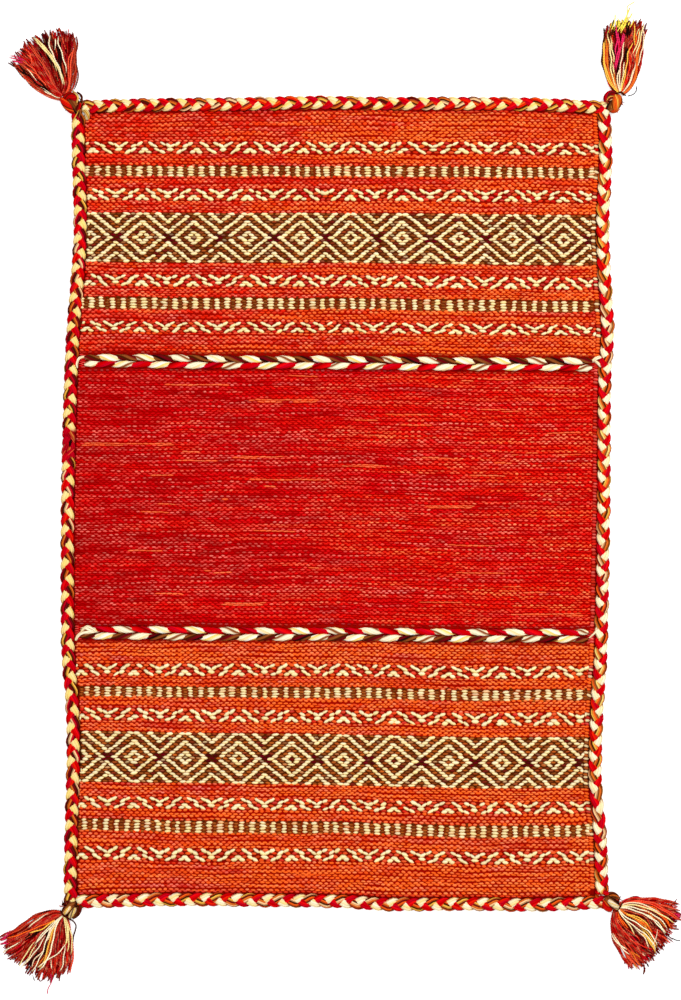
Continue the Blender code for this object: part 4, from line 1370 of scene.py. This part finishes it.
# A lock of loose yarn ends, seen from the neck: its yarn, the way to it in degrees at its root,
# middle and tip, how far off it starts and ends, its number of ends, and the middle's height.
Lock = namedtuple("Lock", "yarn root middle tip start end yarns height")
LOCKS = {
    "tassel_top_left": (
        ("dark_brown", 174, 157, 147, 6, 66, 3, 0.9), ("deep_red", 162, 146, 138, 6, 68, 8, 1.2),
        ("crimson", 150, 136, 130, 6, 70, 9, 1.2), ("deep_red", 135, 122, 120, 6, 73, 8, 1.2),
        ("black", 118, 110, 110, 6, 72, 8, 1.2), ("deep_red", 100, 98, 100, 6, 74, 8, 1.2),
        ("deep_red", 84, 88, 90, 6, 72, 8, 1.2), ("crimson", 68, 78, 84, 6, 70, 7, 1.2),
        ("dark_brown", 190, 154, 149, 6, 71, 1, 1.0), ("cream", 200, 168, 158, 4, 29, 1, 3.4),
        ("cream", 185, 171, 162, 5, 24, 1, 2.8), ("black", 165, 152, 146, 8, 62, 3, 3.0),
        ("deep_red", 172, 142, 139, 4, 54, 3, 4.0), ("red", 150, 137, 136, 8, 68, 3, 3.4),
        ("coral", 150, 140, 141, 16, 60, 2, 4.4), ("peach", 150, 146, 144, 34, 53, 1, 4.8),
        ("red", 138, 128, 126, 8, 74, 4, 3.2), ("coral", 140, 130, 129, 46, 66, 2, 3.8),
        ("crimson", 124, 118, 120, 8, 76, 4, 3.0), ("magenta", 136, 140, 144, 55, 72, 3, 3.6),
        ("straw", 90, 106, 117, 14, 78, 2, 5.0), ("straw", 102, 108, 115, 30, 72, 2, 5.2),
        ("cream", 92, 103, 103, 15, 69, 1, 5.6), ("cream", 101, 99, 99, 54, 69, 1, 5.4),
        ("black", 92, 95, 97, 14, 64, 3, 3.8), ("cream", 86, 92, 95, 28, 65, 1, 5.6),
        ("coral", 46, 75, 79, 8, 54, 2, 5.2), ("crimson", 58, 84, 91, 16, 60, 2, 5.0),
        ("red", 66, 82, 84, 12, 74, 3, 4.2), ("crimson", 84, 90, 94, 50, 82, 2, 3.6),
        ("wine", 30, 69, 85, 8, 75, 1, 1.0), ("wine", 36, 62, 79, 14, 50, 1, 1.6),
        ("black", 129, 130, 132, 62, 73, 1, 3.4), ("black", 116, 115, 117, 66, 80, 1, 2.6),
        ("black", 102, 102, 102, 66, 78, 1, 2.6),
    ),
    "tassel_top_right": (
        ("wine", 132, 108, 100, 6, 64, 6, 1.2), ("dark_brown", 121, 104, 96, 6, 74, 8, 1.2),
        ("crimson", 107, 96, 92, 6, 76, 9, 1.2), ("black", 94, 89, 87, 6, 78, 8, 1.2),
        ("wine", 81, 82, 83, 6, 80, 8, 1.2), ("deep_red", 64, 75, 79, 6, 80, 8, 1.2),
        ("deep_red", 48, 68, 74, 6, 80, 8, 1.2), ("flame", 32, 62, 72, 8, 73, 6, 1.2),
        ("coral", 18, 58, 72, 6, 68, 2, 3.2), ("gold", 142, 122, 107, 5, 60, 2, 3.4),
        ("amber", 134, 115, 103, 5, 64, 2, 3.0), ("straw", 120, 107, 100, 4, 67, 2, 3.8),
        ("amber", 118, 112, 107, 8, 27, 1, 4.4), ("wine", 108, 104, 100, 12, 42, 3, 3.4),
        ("magenta", 102, 92, 87, 26, 64, 2, 4.8), ("magenta", 94, 92, 94, 42, 75, 3, 4.6),
        ("crimson", 91, 91, 93, 42, 66, 3, 4.4), ("black", 93, 95, 92, 14, 32, 2, 3.8),
        ("peach", 95, 91, 87, 4, 58, 1, 5.6), ("peach", 105, 103, 92, 5, 30, 1, 5.4),
        ("peach", 85, 85, 85, 20, 36, 1, 5.0), ("gold", 75, 79, 77, 5, 56, 1, 5.4),
        ("straw", 81, 82, 80, 5, 27, 1, 5.4), ("black", 82, 82, 82, 34, 55, 3, 4.0),
        ("flame", 61, 70, 79, 8, 57, 2, 5.0), ("crimson", 84, 81, 77, 50, 60, 2, 4.8),
        ("peach", 39, 54, 64, 4, 41, 1, 5.2), ("peach", 36, 54, 63, 4, 32, 1, 4.8),
        ("straw", 72, 71, 73, 44, 81, 2, 5.0), ("amber", 12, 55, 68, 5, 63, 2, 3.6),
        ("peach", 57, 64, 69, 34, 68, 1, 4.4), ("wine", 21, 57, 72, 10, 69, 1, 1.8),
        ("orange", 72, 73, 75, 56, 72, 2, 4.6), ("gold", 75, 77, 78, 55, 79, 1, 5.0),
        ("straw", 74, 75, 74, 66, 81, 1, 4.6), ("yellow", 89, 87, 84, 68, 92, 3, 3.4),
        ("yellow", 96, 92, 91, 70, 89, 4, 3.2), ("yellow", 101, 97, 95, 68, 85, 3, 3.2),
        ("yellow", 84, 83, 82, 70, 87, 2, 3.2), ("amber", 88, 86, 85, 70, 82, 2, 4.0),
        ("yellow", 91, 89, 86, 66, 86, 3, 3.6), ("black", 92, 90, 88, 76, 86, 1, 4.4),
        ("black", 99, 97, 96, 73, 81, 2, 4.4), ("black", 86, 84, 86, 62, 77, 3, 4.2),
        ("wine", 77, 76, 75, 74, 88, 1, 2.6), ("peach", 68, 70, 73, 66, 85, 1, 3.6),
    ),
    "tassel_bottom_left": (
        ("deep_red", 170, 198, 205, 6, 74, 7, 1.2), ("crimson", 188, 208, 212, 6, 76, 8, 1.2),
        ("deep_red", 205, 217, 220, 6, 74, 8, 1.2), ("deep_red", 220, 228, 230, 6, 72, 8, 1.2),
        ("wine", 232, 238, 240, 6, 74, 8, 1.2), ("deep_red", 248, 250, 250, 6, 73, 8, 1.2),
        ("crimson", 262, 260, 258, 6, 73, 8, 1.2), ("deep_red", 276, 272, 268, 6, 64, 7, 1.2),
        ("black", 140, 176, 198, 4, 46, 1, 1.4), ("red", 175, 200, 204, 5, 72, 4, 3.2),
        ("crimson", 188, 207, 210, 6, 74, 4, 3.0), ("peach", 178, 194, 201, 18, 46, 1, 4.4),
        ("orange", 210, 206, 203, 12, 66, 1, 4.2), ("crimson", 200, 206, 209, 12, 70, 3, 3.8),
        ("gold", 214, 213, 208, 12, 41, 1, 4.8), ("cream", 222, 224, 225, 8, 45, 2, 5.2),
        ("black", 215, 214, 213, 28, 50, 3, 3.6), ("cream", 212, 212, 213, 50, 76, 1, 3.8),
        ("straw", 226, 228, 230, 44, 72, 2, 4.8), ("cream", 230, 233, 232, 32, 72, 1, 5.4),
        ("peach", 242, 238, 240, 40, 75, 1, 4.8), ("cream", 214, 237, 242, 2, 70, 1, 5.6),
        ("cream", 222, 249, 246, 2, 66, 1, 5.6), ("gold", 216, 243, 246, 4, 66, 1, 5.2),
        ("amber", 222, 244, 244, 4, 62, 2, 4.6), ("black", 218, 241, 241, 22, 62, 2, 4.0),
        ("peach", 218, 232, 240, 8, 35, 1, 5.4), ("black", 240, 237, 236, 46, 74, 3, 3.6),
        ("crimson", 256, 255, 255, 6, 46, 3, 4.2), ("red", 258, 257, 255, 20, 70, 4, 3.4),
        ("flame", 276, 273, 264, 5, 35, 1, 5.0), ("straw", 298, 289, 279, 4, 44, 2, 5.2),
        ("straw", 286, 283, 276, 10, 34, 2, 5.0), ("cream", 278, 256, 245, 30, 66, 1, 5.6),
        ("black", 250, 248, 244, 48, 64, 2, 4.0), ("cream", 275, 271, 266, 33, 67, 1, 5.2),
        ("flame", 263, 262, 261, 40, 68, 2, 4.2), ("peach", 256, 257, 257, 50, 66, 1, 4.4),
        ("wine", 277, 274, 270, 44, 62, 2, 3.0), ("magenta", 198, 200, 201, 62, 76, 3, 3.4),
        ("magenta", 206, 206, 204, 64, 79, 2, 3.0), ("black", 222, 222, 221, 72, 83, 1, 2.4),
        ("black", 243, 245, 247, 76, 88, 1, 2.6),
    ),
    "tassel_bottom_right": (
        ("deep_red", 375, 362, 354, 6, 66, 8, 1.2), ("wine", 358, 350, 346, 6, 68, 8, 1.2),
        ("deep_red", 340, 340, 338, 6, 64, 8, 1.2), ("crimson", 326, 328, 328, 6, 63, 8, 1.2),
        ("deep_red", 312, 316, 316, 6, 65, 8, 1.2), ("wine", 296, 304, 308, 6, 66, 8, 1.2),
        ("crimson", 276, 290, 298, 6, 68, 9, 1.2), ("deep_red", 252, 274, 288, 8, 70, 8, 1.2),
        ("crimson", 425, 373, 353, 7, 69, 2, 3.0), ("flame", 403, 368, 350, 8, 67, 2, 4.2),
        ("coral", 395, 366, 349, 10, 68, 2, 4.4), ("wine", 415, 400, 387, 8, 25, 1, 2.0),
        ("peach", 405, 371, 353, 3, 52, 1, 5.2), ("straw", 384, 360, 345, 3, 66, 1, 5.4),
        ("orange", 367, 354, 339, 24, 69, 2, 4.8), ("cream", 372, 354, 338, 6, 62, 1, 5.6),
        ("black", 352, 347, 343, 48, 66, 2, 3.6), ("amber", 366, 350, 336, 16, 56, 2, 5.0),
        ("cream", 362, 346, 333, 6, 57, 1, 5.6), ("cream", 349, 340, 332, 24, 60, 1, 5.2),
        ("black", 342, 337, 333, 36, 56, 2, 3.6), ("wine", 340, 346, 329, 8, 48, 3, 4.2),
        ("amber", 312, 327, 322, 8, 47, 2, 4.8), ("gold", 322, 334, 326, 12, 40, 2, 5.2),
        ("orange", 318, 330, 323, 12, 46, 1, 5.0), ("black", 312, 320, 323, 12, 28, 2, 4.0),
        ("cream", 292, 322, 316, 4, 60, 1, 5.6), ("straw", 286, 302, 303, 5, 35, 1, 5.2),
        ("cream", 280, 314, 311, 4, 62, 1, 5.6), ("orange", 252, 282, 294, 5, 28, 2, 4.8),
        ("gold", 317, 315, 312, 34, 64, 3, 5.0), ("cream", 331, 324, 313, 50, 63, 1, 6.6),
        ("flame", 329, 318, 310, 42, 62, 2, 4.6), ("crimson", 240, 290, 304, 5, 44, 2, 5.0),
        ("black", 243, 276, 291, 8, 26, 3, 4.0), ("wine", 306, 309, 308, 24, 50, 3, 4.2),
        ("peach", 308, 311, 309, 28, 58, 1, 5.0), ("red", 240, 284, 297, 5, 58, 3, 4.4),
        ("red", 226, 280, 308, 4, 68, 3, 3.8), ("flame", 250, 280, 293, 8, 68, 3, 3.4),
        ("magenta", 243, 272, 282, 8, 68, 1, 1.0), ("magenta", 250, 268, 277, 8, 61, 1, 1.0),
        ("cream", 258, 272, 284, 30, 51, 2, 6.4), ("coral", 270, 282, 289, 36, 72, 3, 4.2),
        ("crimson", 280, 282, 283, 50, 73, 2, 3.0), ("peach", 294, 297, 300, 50, 68, 1, 4.0),
        ("amber", 283, 289, 293, 48, 66, 2, 4.0), ("gold", 285, 287, 289, 58, 71, 1, 2.6),
        ("wine", 292, 293, 291, 68, 80, 1, 1.0), ("black", 320, 319, 318, 58, 71, 1, 1.4),
        ("black", 296, 297, 297, 66, 74, 1, 1.6), ("crimson", 362, 364, 368, 55, 63, 1, 1.6),
        ("magenta", 354, 352, 351, 58, 71, 4, 3.6), ("red", 331, 330, 328, 50, 70, 4, 3.2),
        ("wine", 326, 326, 325, 50, 68, 3, 3.0),
    ),
}  # fmt: skip

# A stray end: its yarn, half its thickness and its route from the neck.
Stray = namedtuple("Stray", "yarn half route")
STRAYS = {
    "tassel_top_left": (
        Stray("wine", 0.5, ((17, 0, 4), (22, -4, 2), (26, -5, 1))),
    ),
    "tassel_top_right": (
        Stray("black", 0.6, ((9, -2, 3), (15, 0, 1.5), (18.5, 4, 1), (19, 9, 0.8))),
        Stray("yellow", 0.5, ((9, 88, 2), (8.5, 97, 1.5), (12, 100, 1), (17, 103, 0.6))),
    ),
    "tassel_bottom_left": (
        Stray(
            "dark_brown", 0.9,
            ((5, -4, 6), (10, -7, 4.5), (13, -12, 3), (12, -18, 2), (10, -25, 1.5), (8.5, -40, 1)),
        ),
        Stray("magenta", 0.6, ((-15, -66, 2), (-14, -74, 1), (-18, -82, 0.8), (-19, -88, 0.8))),
        Stray(
            "wine", 0.6,
            ((-28, -62, 2), (-23, -64, 1.5), (-22, -70, 1), (-27, -74, 0.9), (-29, -68, 0.9)),
        ),
    ),
    "tassel_bottom_right": (
        Stray("black", 0.6, ((60, -35, 1.2), (64, -37, 0.9), (69, -38, 0.7))),
    ),
}  # fmt: skip

RED_YARNS = ("red", "crimson", "deep_red", "flame", "wine")
ODD_YARNS = ("wine", "dark_red", "dark_red", "coral", "flame", "crimson")  # that some red ends have
ODD_SHARE, DARK_TIPS = 0.45, 0.45  # shares of the red ends of an odd yarn, and of all with a wine tip
LIGHT_YARNS = ("cream", "straw", "yellow", "peach", "gold")
PALER = {"cream": 0.4, "straw": 0.2, "peach": 0.3}  # how far these are bleached in the tassels
RED_TONE, OTHER_TONE = (0.6, 1.15), (1.05, 1.25)  # the darkest and the brightest ends
TASSEL_TONE = {"tassel_top_left": 0.84, "tassel_bottom_right": 1.08}  # of the red ends

YARN_WIDE, YARN_HIGH = 1.0, 0.7  # half the width and height of one end, pressed flat
UNDER_WIDER, LIGHT_WIDER = 1.45, 0.92  # how much wider an end is that fills the fan, and a light one
YARN_TWIST = 0.5  # radians a millimetre
LOCK_STEP = 2.5
LOCK_PITCH = 1.75  # between two ends of a lock
LIGHT_PITCH = 2.4  # of a light one
UNDER_PITCH = 2.15  # and of one that fills the fan from below, in two layers
UNDER_LAYERS = (0.0, 1.1)
UNDER_HEIGHT = 1.5  # locks whose middle is lower fill the fan
NEAR_NECK = 12.0  # locks that start nearer than this come out of the neck itself
NECK_START = 0.25  # of its start, where such a lock really sets off
EMERGES_IN = 8.0  # how far others take to come up from between the rest
NECK_HEIGHT = 4.6
NECK_REACH = 20.0  # from the neck, within which the ends come down to their own height
LOOSE_FROM = 40.0  # from the neck, beyond which they are as loose as they get
SETTLES_FROM, SETTLES_IN, SETTLES_BY = 50.0, 25.0, 0.4  # and where and by how much they sink
TAPER = 0.1  # of an end's length, in which it thins to its tip
TIP_COLOUR = 0.12  # and in which it takes on the colour of its tip
FUZZ_HAIRS = 18
HEART_HEIGHT = 6.0  # of the middle of the knot
HEART_HALF_HIGH = 5.6


def yarn_inks(name, tone):
    """The four inks round one twisted end, from any of them on."""
    main = mixed(INK[name], INK["ivory"], PALER.get(name, 0.0))
    light = main
    if name in RED_YARNS:
        main = mixed(main, INK["coral"], draw.uniform(0, 0.9) ** 3)
        # For red yarns, light is a ply painted with a highlight towards peach.
        light = mixed(main, INK["peach"], draw.uniform(0.05, 0.35))
    near = mixed(main, INK["dark_brown"], draw.uniform(0, 0.08))
    inks = [main * tone, near * tone, light * tone, near * tone]
    first = draw.integers(len(inks))
    return inks[first:] + inks[:first]


def lock_end(yarns, tassel, lock, beside, lift):
    """One yarn end of a lock, so far beside its middle."""
    start = lock.start * NECK_START if lock.start < NEAR_NECK else lock.start
    length = lock.end * draw.uniform(0.9, 1.06) - start
    ways = lock.root, lock.middle, lock.tip
    swing = math.radians(max(ways) - min(ways)) * (start + lock.end) / 2
    t = np.linspace(0, 1, max(6, round(math.hypot(length, swing) / LOCK_STEP)))
    out = start + length * t
    root, middle, tip = (1 - t) * (1 - 2 * t), 4 * t * (1 - t), t * (2 * t - 1)
    angle = np.radians(lock.root * root + lock.middle * middle + lock.tip * tip)
    loose = held(out / LOOSE_FROM)
    phase, long_phase = draw.uniform(0, 2 * math.pi, 2)
    wave = 0.7 * np.sin(out / 2.9 + phase) + 1.3 * np.sin(out / 8.5 + long_phase)
    across = beside * (0.35 + 0.65 * loose) + wave * loose * draw.uniform(0.3, 1.0)
    x = tassel.neck_x + out * np.cos(angle) - across * np.sin(angle)
    y = tassel.neck_y + out * np.sin(angle) + across * np.cos(angle)
    fall = held(1 - out / NECK_REACH) ** 2
    settle = 1 - SETTLES_BY * held((out - SETTLES_FROM) / SETTLES_IN)
    own, neck = (lock.height + lift) * settle, NECK_HEIGHT + 0.65 * lock.height
    z = own * (1 - fall) + neck * fall + 0.3 * np.sin(out / 4.3 + phase)
    thick = draw.uniform(0.8, 1.1) * (1 - 0.4 * held((t - 1 + TAPER) / TAPER))
    if start > NEAR_NECK:
        emerged = held((out - start) / EMERGES_IN)
        thick, z = thick * (0.3 + 0.7 * emerged), z * (0.6 + 0.4 * emerged)
    z = np.maximum(z, YARN_HIGH + 0.1)
    red, pale = lock.yarn in RED_YARNS, lock.yarn in LIGHT_YARNS
    name = draw.choice(ODD_YARNS) if red and draw.random() < ODD_SHARE else lock.yarn
    tip_ink = INK["wine"] if draw.random() < DARK_TIPS else INK[name]
    tone = draw.uniform(*(RED_TONE if red else OTHER_TONE))
    if red:
        tone *= TASSEL_TONE.get(tassel.name, 1.0)
    under = lock.height < UNDER_HEIGHT
    wide = YARN_WIDE * (UNDER_WIDER if under else LIGHT_WIDER if pale else 1.0)
    # Painted shade: lower ends darker through sink, and the sides and the lines between plies darker,
    # light yarns less so.
    sweep(
        yarns,
        np.stack([x, y, z], axis=1),
        wide * thick,
        YARN_HIGH * thick,
        yarn_inks(name, tone),
        groove=0.85,
        twist=YARN_TWIST,
        sink=held(0.3 + 0.2 * z),
        tip=(tip_ink, 0.7 * held((t - 1 + TIP_COLOUR) / TIP_COLOUR)),
        line=0.7 if pale else 0.5,
        flank=0.25 if pale else 0.08,
    )


def build_knot(yarns, tassel):
    """A dark heart, with the lobes of the plaits' strands tied over it."""
    t = np.linspace(-0.96, 0.96, 13)
    turn = math.radians(tassel.turn)
    round_off = np.sqrt(1 - t**2)
    x = tassel.x + t * tassel.long * math.cos(turn)
    y = tassel.y + t * tassel.long * math.sin(turn)
    heart = np.stack([x, y, np.full_like(t, HEART_HEIGHT)], axis=1)
    inks = [INK[name] for name in ("dark_brown", "brown", "black") * 2]
    sweep(yarns, heart, 0.9 * tassel.wide * round_off, HEART_HALF_HIGH * round_off, inks)
    for lobe in LOBES[tassel.name]:
        route = smooth_route([(tassel.x + dx, tassel.y + dy, z) for dx, dy, z in lobe.route])
        swell = 0.55 + 0.45 * np.sqrt(1 - np.linspace(-1, 1, len(route)) ** 2)
        inks = []
        for name in lobe.yarns * (3 if lobe.half_wide > 2 else 1):
            # Some yarns of a lobe are darkened towards dark brown as painted shade of the grooves
            # between them, light yarns seldom; the lines between yarns and the sides are painted dark
            # too.
            groove_shade = draw.uniform(0, 1) ** (9 if name in LIGHT_YARNS else 3)
            inks.append(mixed(INK[name], INK["dark_brown"], groove_shade))
        wide, high = lobe.half_wide * swell, 0.8 * lobe.half_high * swell
        sweep(yarns, route, wide, high, inks, twist=0.14, line=0.02, flank=0.15)


def build_fuzz(yarns, tassel):
    """Short broken hairs that stick out of the knot."""
    for n in range(FUZZ_HAIRS):
        way, bend = draw.uniform(0, 2 * math.pi), draw.uniform(-0.9, 0.9)
        near, far = draw.uniform(3.0, 6.0), draw.uniform(9.5, 12.5)
        hair = []
        for out, turned, height in ((near, 0.0, 9.0), ((near + far) / 2, 0.5, 9.5), (far, 1.0, 7.5)):
            angle = way + turned * bend
            x, y = tassel.x + out * math.cos(angle), tassel.y + out * math.sin(angle)
            hair.append((x, y, height))
        name = draw.choice(("dark_brown", "wine", "brown", "deep_red"))
        sweep(yarns, smooth_route(hair), 0.35, 0.35, yarn_inks(name, 1.0))


def build_tassel(tassel):
    """The knot with its hairs, the locks of yarn ends and the stray ones."""
    yarns = Yarns()
    build_knot(yarns, tassel)
    build_fuzz(yarns, tassel)
    for row in LOCKS[tassel.name]:
        lock = Lock(*row)
        under = lock.height < UNDER_HEIGHT and lock.yarns > 3
        pitch = UNDER_PITCH if under else LIGHT_PITCH if lock.yarn in LIGHT_YARNS else LOCK_PITCH
        for layer, lift in enumerate(UNDER_LAYERS if under else (0.0,)):
            for n in range(lock.yarns + under):
                lock_end(yarns, tassel, lock, (n - lock.yarns / 2 + layer / 2) * pitch, lift)
    for stray in STRAYS[tassel.name]:
        route = [(tassel.neck_x + x, tassel.neck_y + y, z) for x, y, z in stray.route]
        inks = yarn_inks(stray.yarn, 1.0)
        sweep(yarns, smooth_route(route), stray.half, stray.half, inks, twist=YARN_TWIST)
    piece = yarns.piece("yarns_" + tassel.name, tassel_yarn, "tassel_yarn")
    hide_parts(tassel.name)
    return piece


# ---------------------------------------------------------------- the floor, lights and camera

VIEW_HEIGHT = 1.110  # metres of the rug's plane that the picture takes in, top to bottom
CAMERA_HEIGHT = 4.0
SENSOR = 24.0
FLOOR_SIZE = 14.0
FLOOR_DROP = 0.0004  # below the rug's underside
FLOOR_GREY = 0.8
FLOOR_GLOW = 0.55  # so that it looks as pale as the photo's ground
WORLD_LIGHT = 0.7

Light = namedtuple("Light", "name place size power")
LIGHTS = (Light("key", (1.3, 1.4, 2.3), 1.6, 51.0), Light("fill", (-1.5, -1.0, 3.0), 2.4, 27.5))


def area_light(row):
    """A square light that faces the middle of the rug."""
    light = bpy.data.lights.new(row.name, "AREA")
    light.shape = "SQUARE"
    light.size = row.size
    light.energy = row.power
    obj = bpy.data.objects.new(row.name, light)
    obj.location = row.place
    obj.rotation_euler = (-Vector(row.place)).to_track_quat("-Z", "Y").to_euler()
    bpy.context.scene.collection.objects.link(obj)


def build_stage():
    """A plain pale floor, soft studio light and a camera straight above the rug."""
    bpy.ops.mesh.primitive_plane_add(size=FLOOR_SIZE, location=(0, 0, -FLOOR_DROP))
    floor = bpy.context.object
    floor.name = "floor"
    material = bpy.data.materials.new("pale_floor")
    material.use_nodes = True
    shader = material.node_tree.nodes["Principled BSDF"]
    shader.inputs["Base Color"].default_value = (FLOOR_GREY, FLOOR_GREY, FLOOR_GREY, 1.0)
    shader.inputs["Emission Color"].default_value = (1.0, 1.0, 1.0, 1.0)
    shader.inputs["Emission Strength"].default_value = FLOOR_GLOW
    shader.inputs["Roughness"].default_value = 1.0
    shader.inputs["Specular IOR Level"].default_value = 0.0
    floor.data.materials.append(material)

    for row in LIGHTS:
        area_light(row)
    world = bpy.data.worlds.new("studio")
    world.use_nodes = True
    world.node_tree.nodes["Background"].inputs["Color"].default_value = (1, 1, 1, 1)
    world.node_tree.nodes["Background"].inputs["Strength"].default_value = WORLD_LIGHT
    bpy.context.scene.world = world
    bpy.context.scene.view_settings.view_transform = "Standard"

    camera = bpy.data.cameras.new("camera")
    camera.sensor_fit = "VERTICAL"
    camera.sensor_height = SENSOR
    camera.lens = SENSOR * CAMERA_HEIGHT / VIEW_HEIGHT
    camera.clip_end = 20.0
    view = bpy.data.objects.new("camera", camera)
    view.location = (SHIFT[0] * MM, SHIFT[1] * MM, CAMERA_HEIGHT)
    bpy.context.scene.collection.objects.link(view)
    bpy.context.scene.camera = view


# ---------------------------------------------------------------- the whole rug

build_stage()
cloth = build_cloth()
beads = build_weave()
twined = [build_twined(row) for row in TWINED_ROWS]
for plait in PLAITS:
    build_plait(plait)
for tassel in TASSELS:
    build_tassel(tassel)
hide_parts("woven_panel")
